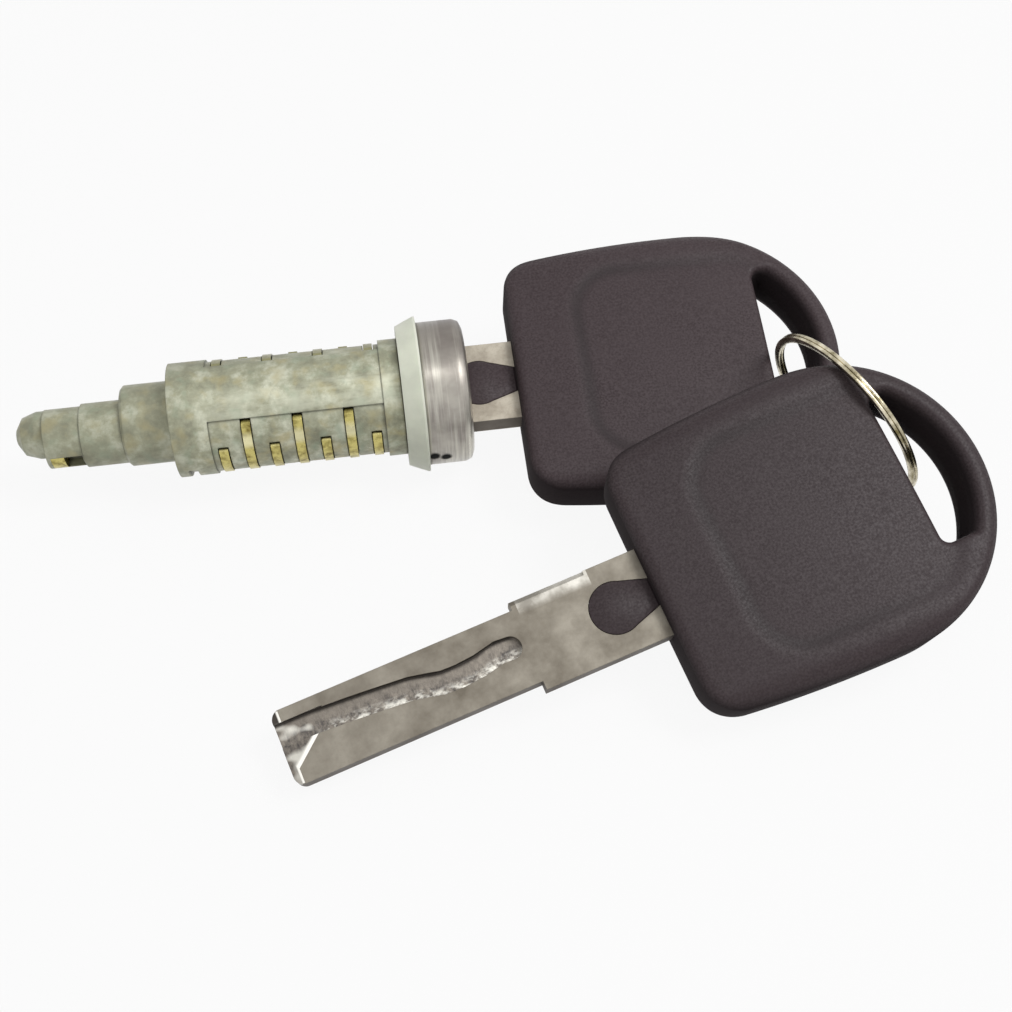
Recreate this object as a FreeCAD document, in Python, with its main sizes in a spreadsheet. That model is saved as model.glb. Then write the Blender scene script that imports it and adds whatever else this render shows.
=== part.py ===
import FreeCAD, Part
import math
import os

import Sketcher

os.makedirs("parts", exist_ok=True)
doc = FreeCAD.newDocument("lock_cylinder_with_keys")

# Driving dimensions in millimetres and degrees
SIZES = {
    # How the set lies: the cylinder axis is X, the floor is parallel to XY
    "lying_roll": 15.0,
    # Key blade, measured from its tip
    "blade_thick": 3.0,
    "blade_half": 4.5,
    "shank_half": 5.58,
    "shank_start": 30.24,
    "tang_back": 13.0,
    "tip_round": 1.2,
    "bevel_size": 0.55,
    "bevel_end": 39.7,
    "track_width": 2.8,
    "track_depth": 1.0,
    "ramp_depth": 1.1,
    "tip_bevel": 0.35,
    "tip_bevel_length": 1.03,
    # Moulded key head
    "head_start": 46.4,
    "head_wide_at": 71.0,
    "head_half": 18.15,
    "head_corner": 4.8,
    "head_side_arc": 190.0,
    "head_rise": 4.78,
    "crown_arc": 260.0,
    "crown_back": 5.0,
    "head_flat_side": 2.8,
    "head_edge": 1.3,
    "panel_length": 20.85,
    "panel_half": 9.9,
    "panel_corner": 2.65,
    "panel_depth": 0.5,
    "panel_slope": 2.2,
    "panel_short": 1.45,
    "loop_ahead": 8.6,
    "loop_arc": 15.2,
    "loop_low": 8.8,
    "loop_round": 1.2,
    "lug_at": 41.5,
    "lug_half": 3.2,
    "lug_neck": 1.75,
    "lug_proud": 0.06,
    "mould_gap": 0.02,
    # Cast plug, stations along its axis and radii
    "nose_end": -18.1,
    "nose_radius": 3.05,
    "nose_flat": 1.1,
    "nose_shoulder": 2.45,
    "cam_end": -14.3,
    "cam_radius": 3.8,
    "cam_step": -9.6,
    "cam_root_radius": 4.1,
    "cam_offset": 0.72,
    "spigot_end": -4.37,
    "spigot_radius": 5.23,
    "body_end": 1.95,
    "body_radius": 7.39,
    "cast_edge": 0.35,
    "notch_start": 3.2,
    "notch_length": 1.2,
    "notch_depth": 0.55,
    "notch_angle": 50.0,
    "relief_start": 6.7,
    "relief_end": 28.9,
    "relief_depth": 0.3,
    "relief_half_angle": 58.0,
    "collar_radius": 7.58,
    "neck_start": 31.3,
    "neck_radius": 6.9,
    "flange_start": 34.35,
    "flange_radius": 8.65,
    "flange_end": 39.2,
    "pocket_start": -13.8,
    "pocket_end": -9.8,
    "pocket_half": 1.4,
    "pocket_depth": 1.5,
    "insert_length": 1.7,
    # Keyway fits
    "keyway_side_gap": 0.1,
    "keyway_flat_gap": 0.15,
    "keyway_end_gap": 0.3,
    # Wafers
    "wafer_first": 27.6,
    "wafer_pitch": 3.24,
    "wafer_thick": 1.15,
    "wafer_gap": 0.1,
    "wafer_end_gap": 0.3,
    "wafer_proud": 0.18,
    "wafer_wide": 5.67,
    "wafer_narrow": 3.04,
    "wafer_shoulder": 0.6,
    "wafer_travel": 0.3,
    "window_side_gap": 1.1,
    "window_flat_gap": 0.12,
    "nose_centre": 0.65,
    "nose_width": 0.6,
    "spring_across": 4.35,
    "spring_radius": 0.8,
    "spring_wire": 0.24,
    "spring_turns": 2.5,
    "spring_seat": 3.4,
    "spring_gap": 0.1,
    # Steel cap and lip seal
    "cap_radius": 9.33,
    "cap_face": 0.66,
    "cap_gap": 0.02,
    "cap_front_round": 1.1,
    "crimp_length": 0.3,
    "crimp_bore": 7.9,
    "cap_slot_side": 5.85,
    "cap_slot_flat": 1.78,
    "cap_slot_round": 0.5,
    "seal_tip_radius": 10.15,
    "seal_back_radius": 9.1,
    "seal_gap": 0.05,
    "seal_lip": 0.25,
    # Split ring
    "ring_radius": 12.1,
    "ring_section": 0.9,
    "ring_height": 1.0,
    # Where the ring passes through the loop of key 1, from head_wide_at, and how it leans
    "seat_1_x": 10.95,
    "seat_1_y": -2.53,
    "ring_yaw": -63.6,
    "ring_pitch": -26.75,
    "ring_roll": -80.35,
    # Where key 2 hangs on the ring, and the same point in its own loop
    "ring_turn": -1.7,
    "seat_2_x": 11.3,
    "seat_2_y": 2.75,
    "key_2_yaw": 47.2,
    "key_2_pitch": -74.2,
    "key_2_roll": 75.35,
}

WAFER_COUNT = 7
TRACK_PATH = (
    (-2.0, 1.65),
    (3.0, 1.65),
    (5.7, 1.52),
    (8.5, 1.35),
    (11.8, 1.1),
    (15.9, 0.75),
    (18.0, 0.3),
    (19.7, -0.1),
    (21.7, -0.15),
    (24.2, 0.05),
    (26.9, 0.6),
    (28.3, 0.5),
)
RAMP_LOW = (1.04, -2.69)
RAMP_HIGH = (4.84, 0.48)
CUT_MARGIN = 2.0


def fill_sheet():
    """Write the driving dimensions into a spreadsheet with aliases."""
    sheet = doc.addObject("Spreadsheet::Sheet", "Sizes")
    for row, (alias, size) in enumerate(SIZES.items(), start=1):
        sheet.set(f"A{row}", alias)
        sheet.set(f"B{row}", str(size))
        sheet.setAlias(f"B{row}", alias)
    doc.recompute()
    return sheet


sheet = fill_sheet()


def value(formula):
    """Present value of an expression that names spreadsheet cells."""
    return float(sheet.evalExpression(formula))


def size(name):
    """Expression for one driving dimension."""
    return f"Sizes.{name}"


def bind(thing, prop, formula):
    """Tie a property to the spreadsheet."""
    thing.setExpression(prop, formula)


def origin_plane(body, role):
    """One of the body's own origin planes."""
    return next(f for f in body.Origin.OriginFeatures if f.Role == role)


def origin_axis(body, role):
    """One of the body's own origin axes."""
    return next(f for f in body.Origin.OriginFeatures if f.Role == role)


def add_edge(sketch, start, end, radius, left):
    """Add a line, or the shorter arc of a radius, and return its index and end numbers."""
    p = FreeCAD.Vector(start[0], start[1], 0)
    q = FreeCAD.Vector(end[0], end[1], 0)
    if radius is None:
        return sketch.addGeometry(Part.LineSegment(p, q), False), 1, 2
    chord = q.sub(p)
    half = chord.Length / 2
    rise = math.sqrt(max(radius * radius - half * half, 0.0))
    side = 1 if left else -1
    normal = FreeCAD.Vector(-chord.y, chord.x, 0).normalize() * (rise * side)
    centre = (p + q) * 0.5 + normal
    first, last = (p, q) if left else (q, p)
    a1 = math.atan2(first.y - centre.y, first.x - centre.x)
    a2 = math.atan2(last.y - centre.y, last.x - centre.x)
    if a2 < a1:
        a2 += 2 * math.pi
    circle = Part.Circle(centre, FreeCAD.Vector(0, 0, 1), radius)
    index = sketch.addGeometry(Part.ArcOfCircle(circle, a1, a2), False)
    return (index, 1, 2) if left else (index, 2, 1)


def pin_coordinate(sketch, kind, axis_line, index, end, formula):
    """Fix one coordinate of a sketch vertex to an expression."""
    now = value(formula)
    if formula == "0":
        sketch.addConstraint(Sketcher.Constraint("PointOnObject", index, end, axis_line))
        return
    number = sketch.addConstraint(Sketcher.Constraint(kind, -1, 1, index, end, now))
    bind(sketch, f"Constraints[{number}]", formula)


def draw(sketch, outline):
    """Draw a closed outline whose vertices and radii are expressions.

    Each entry is (x, y), followed for an arc by its radius and "left" or "right",
    the side of the arc's centre on the way to the next vertex.
    """
    spots = [(value(v[0]), value(v[1])) for v in outline]
    edges = []
    for i, vertex in enumerate(outline):
        curved = len(vertex) > 2
        radius = value(vertex[2]) if curved else None
        left = curved and vertex[3] == "left"
        following = spots[(i + 1) % len(spots)]
        edges.append(add_edge(sketch, spots[i], following, radius, left))
    for i, (index, start, end) in enumerate(edges):
        after = edges[(i + 1) % len(edges)]
        sketch.addConstraint(Sketcher.Constraint("Coincident", index, end, after[0], after[1]))
    for i, vertex in enumerate(outline):
        index, start, end = edges[i]
        pin_coordinate(sketch, "DistanceX", -2, index, start, vertex[0])
        pin_coordinate(sketch, "DistanceY", -1, index, start, vertex[1])
        if len(vertex) > 2:
            radius = value(vertex[2])
            number = sketch.addConstraint(Sketcher.Constraint("Radius", index, radius))
            bind(sketch, f"Constraints[{number}]", vertex[2])


def draw_circle(sketch, x, y, radius):
    """Draw one circle with its centre and radius bound to expressions."""
    centre = FreeCAD.Vector(value(x), value(y), 0)
    circle = Part.Circle(centre, FreeCAD.Vector(0, 0, 1), value(radius))
    index = sketch.addGeometry(circle, False)
    pin_coordinate(sketch, "DistanceX", -2, index, 3, x)
    pin_coordinate(sketch, "DistanceY", -1, index, 3, y)
    number = sketch.addConstraint(Sketcher.Constraint("Radius", index, value(radius)))
    bind(sketch, f"Constraints[{number}]", radius)


def body_sketch(body, name, role, shift="0"):
    """Sketch on one of the body's origin planes, moved along its normal."""
    sketch = body.newObject("Sketcher::SketchObject", name)
    sketch.AttachmentSupport = (origin_plane(body, role), [""])
    sketch.MapMode = "FlatFace"
    if shift != "0":
        bind(sketch, "AttachmentOffset.Base.z", shift)
    return sketch


def free_sketch(name, height):
    """Sketch parallel to XY at a height, for parts built from solids."""
    sketch = doc.addObject("Sketcher::SketchObject", name)
    bind(sketch, "Placement.Base.z", height)
    return sketch


def pad(body, name, sketch, length, midplane=False):
    feature = body.newObject("PartDesign::Pad", name)
    feature.Profile = sketch
    feature.Midplane = midplane
    bind(feature, "Length", length)
    sketch.Visibility = False
    return feature


def revolve(body, name, sketch):
    feature = body.newObject("PartDesign::Revolution", name)
    feature.Profile = sketch
    feature.ReferenceAxis = (sketch, ["H_Axis"])
    feature.Angle = 360
    return feature


def checked_cut(body, feature):
    """Recompute and make sure that the cut took material away."""
    before = feature.BaseFeature.Shape.Volume
    doc.recompute()
    after = feature.Shape.Volume
    if not 0 < after < before - 1e-6:
        raise RuntimeError(f"{feature.Label} cuts nothing")


def pocket(body, name, sketch, length, outward=False, midplane=False):
    """Cut along the sketch's normal if outward, else against it."""
    doc.recompute()
    feature = body.newObject("PartDesign::Pocket", name)
    feature.Profile = sketch
    feature.Type = 0
    feature.Midplane = midplane
    feature.Reversed = outward
    bind(feature, "Length", length)
    checked_cut(body, feature)
    return feature


def groove(body, name, sketch, angle, midplane, flip=False):
    doc.recompute()
    feature = body.newObject("PartDesign::Groove", name)
    feature.Profile = sketch
    feature.ReferenceAxis = (sketch, ["H_Axis"])
    feature.Midplane = midplane
    feature.Reversed = flip
    bind(feature, "Angle", angle)
    checked_cut(body, feature)
    return feature


def half_turn(body, name, source):
    """Repeat a feature half a turn round the X axis."""
    pattern = body.newObject("PartDesign::PolarPattern", name)
    pattern.Originals = [source]
    pattern.Axis = (origin_axis(body, "X_Axis"), [""])
    pattern.Angle = 360
    pattern.Occurrences = 2
    body.Tip = pattern
    doc.recompute()
    return pattern


def row(body, name, source, spacing, count):
    """Repeat a feature along X at a spacing."""
    pattern = body.newObject("PartDesign::LinearPattern", name)
    pattern.Originals = [source]
    pattern.Direction = (origin_axis(body, "X_Axis"), [""])
    pattern.Reversed = True
    pattern.Occurrences = count
    bind(pattern, "Length", f"({spacing}) * {count - 1}")
    body.Tip = pattern
    doc.recompute()
    return pattern


def lay(thing):
    """Turn a finished piece about the cylinder axis, as the set lies."""
    bind(thing, "Placement", "placement(vector(0; 0; 0); rotation(0; 0; Sizes.lying_roll))")


# The ring leaves from its seat in the loop of key 1, and key 2 hangs from the ring
ROLLED = "placement(vector(0; 0; 0); rotation(0; 0; Sizes.lying_roll))"
RING_PLACE = (
    f"{ROLLED}"
    " * placement(vector(Sizes.head_wide_at + Sizes.seat_1_x; Sizes.seat_1_y; 0);"
    " rotation(Sizes.ring_yaw; Sizes.ring_pitch; Sizes.ring_roll))"
    " * placement(vector(Sizes.ring_radius; 0; 0); rotation(0; 0; 0))"
)
KEY_2_PLACE = (
    f"{RING_PLACE}"
    " * placement(vector(0; 0; 0); rotation(Sizes.ring_turn; 0; 0))"
    " * placement(vector(Sizes.ring_radius; 0; 0);"
    " rotation(Sizes.key_2_yaw; Sizes.key_2_pitch; Sizes.key_2_roll))"
    " * placement(vector(-Sizes.head_wide_at - Sizes.seat_2_x; -Sizes.seat_2_y; 0);"
    " rotation(0; 0; 0))"
)


def lay_key_2(thing):
    """Put a piece of the second key where it hangs on the ring."""
    bind(thing, "Placement", KEY_2_PLACE)


def round_box(half_x, half_y, corner):
    """Outline of a rectangle about the origin with round corners."""
    low_x = f"-({half_x} - {corner})"
    high_x = f"{half_x} - {corner}"
    low_y = f"-({half_y} - {corner})"
    high_y = f"{half_y} - {corner}"
    return [
        (low_x, f"-{half_y}"),
        (high_x, f"-{half_y}", corner, "left"),
        (half_x, low_y),
        (half_x, high_y, corner, "left"),
        (high_x, half_y),
        (low_x, half_y, corner, "left"),
        (f"-{half_x}", high_y),
        (f"-{half_x}", low_y, corner, "left"),
    ]


def new_body(name):
    body = doc.addObject("PartDesign::Body", name)
    body.Label = name
    return body


def block(name, low, high):
    """Box between two corners given as expressions."""
    box = doc.addObject("Part::Box", name)
    for prop, a, b in zip(("Length", "Width", "Height"), low, high):
        bind(box, prop, f"({b}) - ({a})")
    bind(box, "Placement", f"placement(vector({low[0]}; {low[1]}; {low[2]}); rotation(0; 0; 0))")
    return box


def rod(name, radius, length, spot, turn):
    """Cylinder from a point, with its axis turned from Z by yaw, pitch and roll."""
    cylinder = doc.addObject("Part::Cylinder", name)
    bind(cylinder, "Radius", radius)
    bind(cylinder, "Height", length)
    where = "; ".join(spot)
    bind(cylinder, "Placement", f"placement(vector({where}); rotation({turn}))")
    return cylinder


def cut(name, base, tool):
    result = doc.addObject("Part::Cut", name)
    result.Base = base
    result.Tool = tool
    return result


def fuse(name, shapes):
    result = doc.addObject("Part::MultiFuse", name)
    result.Shapes = shapes
    return result


def common(name, shapes):
    result = doc.addObject("Part::MultiCommon", name)
    result.Shapes = shapes
    return result


# Plug casting

def slot_outline(side):
    """Stepped wafer slot in the YZ plane, its narrow end towards side * Y."""
    wide = "Sizes.wafer_wide + Sizes.wafer_end_gap"
    slim = "Sizes.wafer_narrow + Sizes.wafer_end_gap"
    step = f"{side} * (Sizes.wafer_shoulder + Sizes.wafer_travel + Sizes.wafer_gap)"
    tip = f"{side} * (Sizes.body_radius + 1)"
    root = f"{-side} * (Sizes.body_radius + 1)"
    return [
        (tip, f"-({slim})"),
        (step, f"-({slim})"),
        (step, f"-({wide})"),
        (root, f"-({wide})"),
        (root, wide),
        (step, wide),
        (step, slim),
        (tip, slim),
    ]


def wafer_side(index):
    """Side of the narrow end: the first wafer from the face has it towards the viewer."""
    return -1 if index % 2 == 0 else 1


def wafer_station(index):
    return f"(Sizes.wafer_first - {index} * Sizes.wafer_pitch)"


def add_slots(body):
    """Two rows of slots, one for each way round, and the moulded wells of their springs."""
    thick = "Sizes.wafer_thick + 2 * Sizes.wafer_gap"
    for index in (0, 1):
        side = wafer_side(index)
        count = (WAFER_COUNT - index + 1) // 2
        face = f"{wafer_station(index)} + ({thick}) / 2"
        sketch = body_sketch(body, f"slot_{index}_outline", "YZ_Plane", face)
        draw(sketch, slot_outline(side))
        first = pocket(body, f"slot_{index}", sketch, thick)
        row(body, f"slot_{index}_row", first, "2 * Sizes.wafer_pitch", count)
        # The XZ plane's normal is -Y, so an offset of side * depth is flipped
        near = f"{-side} * (Sizes.wafer_shoulder - Sizes.spring_gap)"
        half = "Sizes.spring_radius + Sizes.spring_gap"
        low = f"Sizes.spring_across - ({half})"
        high = f"Sizes.spring_across + {half}"
        left = f"{wafer_station(index)} - ({half})"
        right = f"{wafer_station(index)} + {half}"
        well = body_sketch(body, f"well_{index}_outline", "XZ_Plane", near)
        draw(well, [(left, low), (right, low), (right, high), (left, high)])
        depth = "Sizes.spring_seat - Sizes.wafer_shoulder + Sizes.spring_gap"
        hole = pocket(body, f"well_{index}", well, depth, outward=side < 0)
        row(body, f"well_{index}_row", hole, "2 * Sizes.wafer_pitch", count)


def make_plug():
    body = new_body("plug")
    chamfer = "Sizes.cast_edge"
    profile = body_sketch(body, "plug_profile", "XY_Plane")
    draw(profile, [
        ("Sizes.nose_end", "0"),
        ("Sizes.nose_end", "Sizes.nose_flat"),
        ("Sizes.nose_end + 0.28 * Sizes.nose_radius", "Sizes.nose_shoulder"),
        ("Sizes.nose_end + 0.85 * Sizes.nose_radius", "Sizes.nose_radius"),
        ("Sizes.spigot_end", "Sizes.nose_radius"),
        ("Sizes.spigot_end", f"Sizes.spigot_radius - {chamfer}"),
        (f"Sizes.spigot_end + {chamfer}", "Sizes.spigot_radius"),
        ("Sizes.body_end", "Sizes.spigot_radius"),
        ("Sizes.body_end", "Sizes.body_radius"),
        ("Sizes.relief_end", "Sizes.body_radius"),
        ("Sizes.relief_end", "Sizes.collar_radius"),
        ("Sizes.neck_start", "Sizes.collar_radius"),
        ("Sizes.neck_start", "Sizes.neck_radius"),
        ("Sizes.flange_start", "Sizes.neck_radius"),
        ("Sizes.flange_start", "Sizes.flange_radius"),
        ("Sizes.flange_end", "Sizes.flange_radius"),
        ("Sizes.flange_end", "0"),
    ])
    revolve(body, "turned_form", profile)
    # Eccentric tail that works the latch
    for name, start, radius in (
        ("cam_tip", "Sizes.cam_end", "Sizes.cam_radius"),
        ("cam_root", "Sizes.cam_step", "Sizes.cam_root_radius"),
    ):
        ring = body_sketch(body, f"{name}_circle", "YZ_Plane", start)
        draw_circle(ring, "-Sizes.cam_offset", "0", radius)
        pad(body, name, ring, f"Sizes.spigot_end + {chamfer} - ({start})")
    low = "Sizes.cam_offset + Sizes.cam_radius - Sizes.pocket_depth"
    mouth = body_sketch(body, "tail_pocket_outline", "XZ_Plane", low)
    draw(mouth, [
        ("Sizes.pocket_start", "-Sizes.pocket_half"),
        ("Sizes.pocket_end", "-Sizes.pocket_half"),
        ("Sizes.pocket_end", "Sizes.pocket_half"),
        ("Sizes.pocket_start", "Sizes.pocket_half"),
    ])
    pocket(body, "tail_pocket", mouth, "Sizes.pocket_depth + 1", outward=True)
    # Shallow relief round the wafer ends, on both sides
    floor = "Sizes.body_radius - Sizes.relief_depth"
    relief = body_sketch(body, "relief_profile", "XY_Plane")
    draw(relief, [
        ("Sizes.relief_start", floor),
        ("Sizes.relief_end", floor),
        ("Sizes.relief_end", "Sizes.body_radius + 1"),
        ("Sizes.relief_start", "Sizes.body_radius + 1"),
    ])
    first = groove(body, "relief", relief, "2 * Sizes.relief_half_angle", True)
    half_turn(body, "relief_pair", first)
    # Notch in the rear collar, low on the viewer's side
    notch = body_sketch(body, "notch_profile", "XY_Plane")
    draw(notch, [
        ("Sizes.notch_start", "-(Sizes.body_radius - Sizes.notch_depth)"),
        ("Sizes.notch_start + Sizes.notch_length", "-(Sizes.body_radius - Sizes.notch_depth)"),
        ("Sizes.notch_start + Sizes.notch_length", "-(Sizes.body_radius + 1)"),
        ("Sizes.notch_start", "-(Sizes.body_radius + 1)"),
    ])
    groove(body, "collar_notch", notch, "Sizes.notch_angle", False)
    # Keyway: narrow for the blade, wide for the shank
    flat = "Sizes.blade_thick / 2 + Sizes.keyway_flat_gap"
    for name, half, start in (
        ("blade_way", "Sizes.blade_half", "-Sizes.keyway_end_gap"),
        ("shank_way", "Sizes.shank_half", "Sizes.shank_start - Sizes.keyway_end_gap"),
    ):
        wide = f"{half} + Sizes.keyway_side_gap"
        way = body_sketch(body, f"{name}_outline", "YZ_Plane", "Sizes.flange_end")
        draw(way, [
            (f"-({wide})", f"-({flat})"),
            (wide, f"-({flat})"),
            (wide, flat),
            (f"-({wide})", flat),
        ])
        pocket(body, name, way, f"Sizes.flange_end - ({start})")
    add_slots(body)
    lay(body)
    return body


def make_tail_insert():
    """Brass piece at the nose end of the tail pocket, flush with the tail."""
    floor = "-(Sizes.cam_offset + Sizes.cam_radius - Sizes.pocket_depth)"
    piece = block("insert_block",
                  ("Sizes.pocket_start", "-(Sizes.cam_offset + Sizes.cam_radius + 1)",
                   "-Sizes.pocket_half"),
                  ("Sizes.pocket_start + Sizes.insert_length", floor, "Sizes.pocket_half"))
    skin = rod("insert_skin", "Sizes.cam_radius", "Sizes.insert_length + 2",
               ("Sizes.pocket_start - 1", "-Sizes.cam_offset", "0"), "0; 90; 0")
    insert = common("tail_insert", [piece, skin])
    lay(insert)
    return insert


# Cap and seal

def make_cap():
    body = new_body("face_cap")
    bore = "Sizes.flange_radius + Sizes.cap_gap"
    back = "Sizes.flange_start - Sizes.cap_gap - Sizes.crimp_length"
    front = "Sizes.flange_end + Sizes.cap_gap + Sizes.cap_face"
    profile = body_sketch(body, "cap_profile", "XY_Plane")
    arc = "Sizes.cap_front_round"
    draw(profile, [
        (back, "Sizes.crimp_bore"),
        (back, "Sizes.cap_radius"),
        (f"{front} - {arc}", "Sizes.cap_radius"),
        (f"{front} - 0.3 * {arc}", f"Sizes.cap_radius - 0.3 * {arc}"),
        (front, f"Sizes.cap_radius - {arc}"),
        (front, "0"),
        ("Sizes.flange_end + Sizes.cap_gap", "0"),
        ("Sizes.flange_end + Sizes.cap_gap", bore),
        ("Sizes.flange_start - Sizes.cap_gap", bore),
        ("Sizes.flange_start - Sizes.cap_gap", "Sizes.crimp_bore"),
    ])
    revolve(body, "cap_cup", profile)
    slot = body_sketch(body, "cap_slot_outline", "YZ_Plane", f"{front} + 1")
    draw(slot, round_box("Sizes.cap_slot_side", "Sizes.cap_slot_flat", "Sizes.cap_slot_round"))
    pocket(body, "cap_slot", slot, "Sizes.cap_face + 1.5")
    lay(body)
    return body


def make_seal():
    body = new_body("lip_ring")
    start = "Sizes.neck_start + Sizes.seal_gap"
    end = "Sizes.flange_start - Sizes.cap_gap - Sizes.crimp_length - Sizes.seal_gap"
    bore = "Sizes.neck_radius + Sizes.seal_gap"
    profile = body_sketch(body, "seal_profile", "XY_Plane")
    draw(profile, [
        (start, bore),
        (start, "Sizes.seal_back_radius"),
        (f"{end} - Sizes.seal_lip", "Sizes.seal_tip_radius"),
        (end, "Sizes.seal_tip_radius"),
        (end, bore),
    ])
    revolve(body, "seal_form", profile)
    lay(body)
    return body


# Wafers and their springs

def make_wafer(index):
    """Stepped brass plate with a window for the blade and a nose for its track."""
    side = wafer_side(index)
    tag = f"wafer_{index + 1}"
    x0 = f"{wafer_station(index)} - Sizes.wafer_thick / 2"
    x1 = f"{wafer_station(index)} + Sizes.wafer_thick / 2"
    reach = "Sizes.body_radius + 1"
    step = "Sizes.wafer_shoulder"

    def span(near, far, half, name):
        low, high = (near, far) if side > 0 else (f"-({far})", f"-({near})")
        return block(f"{tag}_{name}", (x0, low, f"-({half})"), (x1, high, half))

    slim = span(step, reach, "Sizes.wafer_narrow", "slim")
    wide = span(f"-({reach})", step, "Sizes.wafer_wide", "wide")
    plate = fuse(f"{tag}_plate", [slim, wide])
    skin = rod(f"{tag}_skin", "Sizes.body_radius - Sizes.relief_depth + Sizes.wafer_proud",
               "Sizes.wafer_thick", (x0, "0", "0"), "0; 90; 0")
    disc = common(f"{tag}_disc", [plate, skin])
    across = "Sizes.blade_half + Sizes.window_side_gap"
    flat = "Sizes.blade_thick / 2 + Sizes.window_flat_gap"
    window = block(f"{tag}_window", (f"{x0} - 1", f"-({across})", f"-({flat})"),
                   (f"{x1} + 1", across, flat))
    frame = cut(f"{tag}_frame", disc, window)
    foot = "Sizes.blade_thick / 2 - Sizes.track_depth + Sizes.window_flat_gap"
    nose = block(f"{tag}_nose",
                 (x0, "Sizes.nose_centre - Sizes.nose_width / 2", foot),
                 (x1, "Sizes.nose_centre + Sizes.nose_width / 2", f"{flat} + 0.2"))
    wafer = fuse(tag, [frame, nose])
    wafer.Refine = True
    lay(wafer)
    return wafer


def make_spring(index):
    """Square-wire coil from the wafer's shoulder towards the end of its bore."""
    side = wafer_side(index)
    radius = value("Sizes.spring_radius - Sizes.spring_wire / 2")
    wire = value("Sizes.spring_wire")
    near = value("Sizes.wafer_shoulder") + wire / 2
    far = value("Sizes.spring_seat - Sizes.wafer_travel") - wire / 2
    turns = value("Sizes.spring_turns")
    station = value(wafer_station(index))
    across = value("Sizes.spring_across")
    steps_per_turn = 6
    count = int(round(turns * steps_per_turn))
    points = []
    for step in range(count + 1):
        angle = 2 * math.pi * step / steps_per_turn
        along = near + (far - near) * step / count
        points.append(FreeCAD.Vector(station + radius * math.cos(angle), side * along,
                                     across + radius * math.sin(angle)))
    path = Part.makePolygon(points)
    heading = points[1] - points[0]
    section = Part.makePlane(wire, wire).OuterWire
    section.translate(FreeCAD.Vector(-wire / 2, -wire / 2, 0))
    section.Placement = FreeCAD.Placement(
        points[0], FreeCAD.Rotation(FreeCAD.Vector(0, 0, 1), heading)).multiply(section.Placement)
    coil = doc.addObject("Part::Feature", f"wafer_spring_{index + 1}")
    coil.Shape = path.makePipeShell([section], True, False, 1)
    lay(coil)
    return coil


# Keys

def lug_neck_outline(growth):
    """Neck of the lug, which narrows from its disc to the head."""
    wide = f"(0.9 * Sizes.lug_half + {growth})"
    slim = f"(Sizes.lug_neck + {growth})"
    start = "Sizes.lug_at + 0.43 * Sizes.lug_half"
    end = f"Sizes.head_start + 2 + ({growth})"
    return [
        (start, f"-{wide}"),
        ("Sizes.head_start", f"-{slim}"),
        (end, f"-{slim}"),
        (end, slim),
        ("Sizes.head_start", slim),
        (start, wide),
    ]


def make_blade_blank(tag):
    body = new_body(f"{tag}_blank")
    outline = body_sketch(body, f"{tag}_outline", "XY_Plane")
    corner = "Sizes.tip_round"
    draw(outline, [
        (corner, "-Sizes.blade_half"),
        ("Sizes.shank_start", "-Sizes.blade_half"),
        ("Sizes.shank_start", "-Sizes.shank_half"),
        ("Sizes.head_wide_at - Sizes.tang_back", "-Sizes.shank_half"),
        ("Sizes.head_wide_at - Sizes.tang_back", "Sizes.shank_half"),
        ("Sizes.shank_start", "Sizes.shank_half"),
        ("Sizes.shank_start", "Sizes.blade_half"),
        (corner, "Sizes.blade_half", corner, "left"),
        ("0", f"Sizes.blade_half - {corner}"),
        ("0", f"{corner} - Sizes.blade_half", corner, "left"),
    ])
    pad(body, f"{tag}_flat", outline, "Sizes.blade_thick", midplane=True)
    doc.recompute()
    eye = body_sketch(body, f"{tag}_eye_circle", "XY_Plane")
    draw_circle(eye, "Sizes.lug_at", "0", "Sizes.lug_half + Sizes.mould_gap")
    pocket(body, f"{tag}_eye", eye, "Sizes.blade_thick + 1", midplane=True)
    neck = body_sketch(body, f"{tag}_neck_outline", "XY_Plane")
    draw(neck, lug_neck_outline("Sizes.mould_gap"))
    pocket(body, f"{tag}_neck", neck, "Sizes.blade_thick + 1", midplane=True)
    return body


def track_cutter(tag):
    """Cutter that follows the milled track: a round-nosed tool run along straight stretches."""
    width = value("Sizes.track_width")
    floor = value("Sizes.blade_thick / 2 - Sizes.track_depth")
    height = value("Sizes.track_depth") + 1
    up = FreeCAD.Vector(0, 0, 1)
    spots = [FreeCAD.Vector(x, y, floor) for x, y in TRACK_PATH]
    sweep = Part.makeCylinder(width / 2, height, spots[0], up)
    for spot, after in zip(spots, spots[1:]):
        run = after - spot
        across = run.cross(up).normalize() * (width / 2)
        corners = [spot + across, after + across, after - across, spot - across, spot + across]
        strip = Part.Face(Part.makePolygon(corners)).extrude(up * height)
        sweep = sweep.fuse([strip, Part.makeCylinder(width / 2, height, after, up)])
    cutter = doc.addObject("Part::Feature", f"{tag}_track_cutter")
    cutter.Shape = sweep.removeSplitter()
    return cutter


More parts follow.
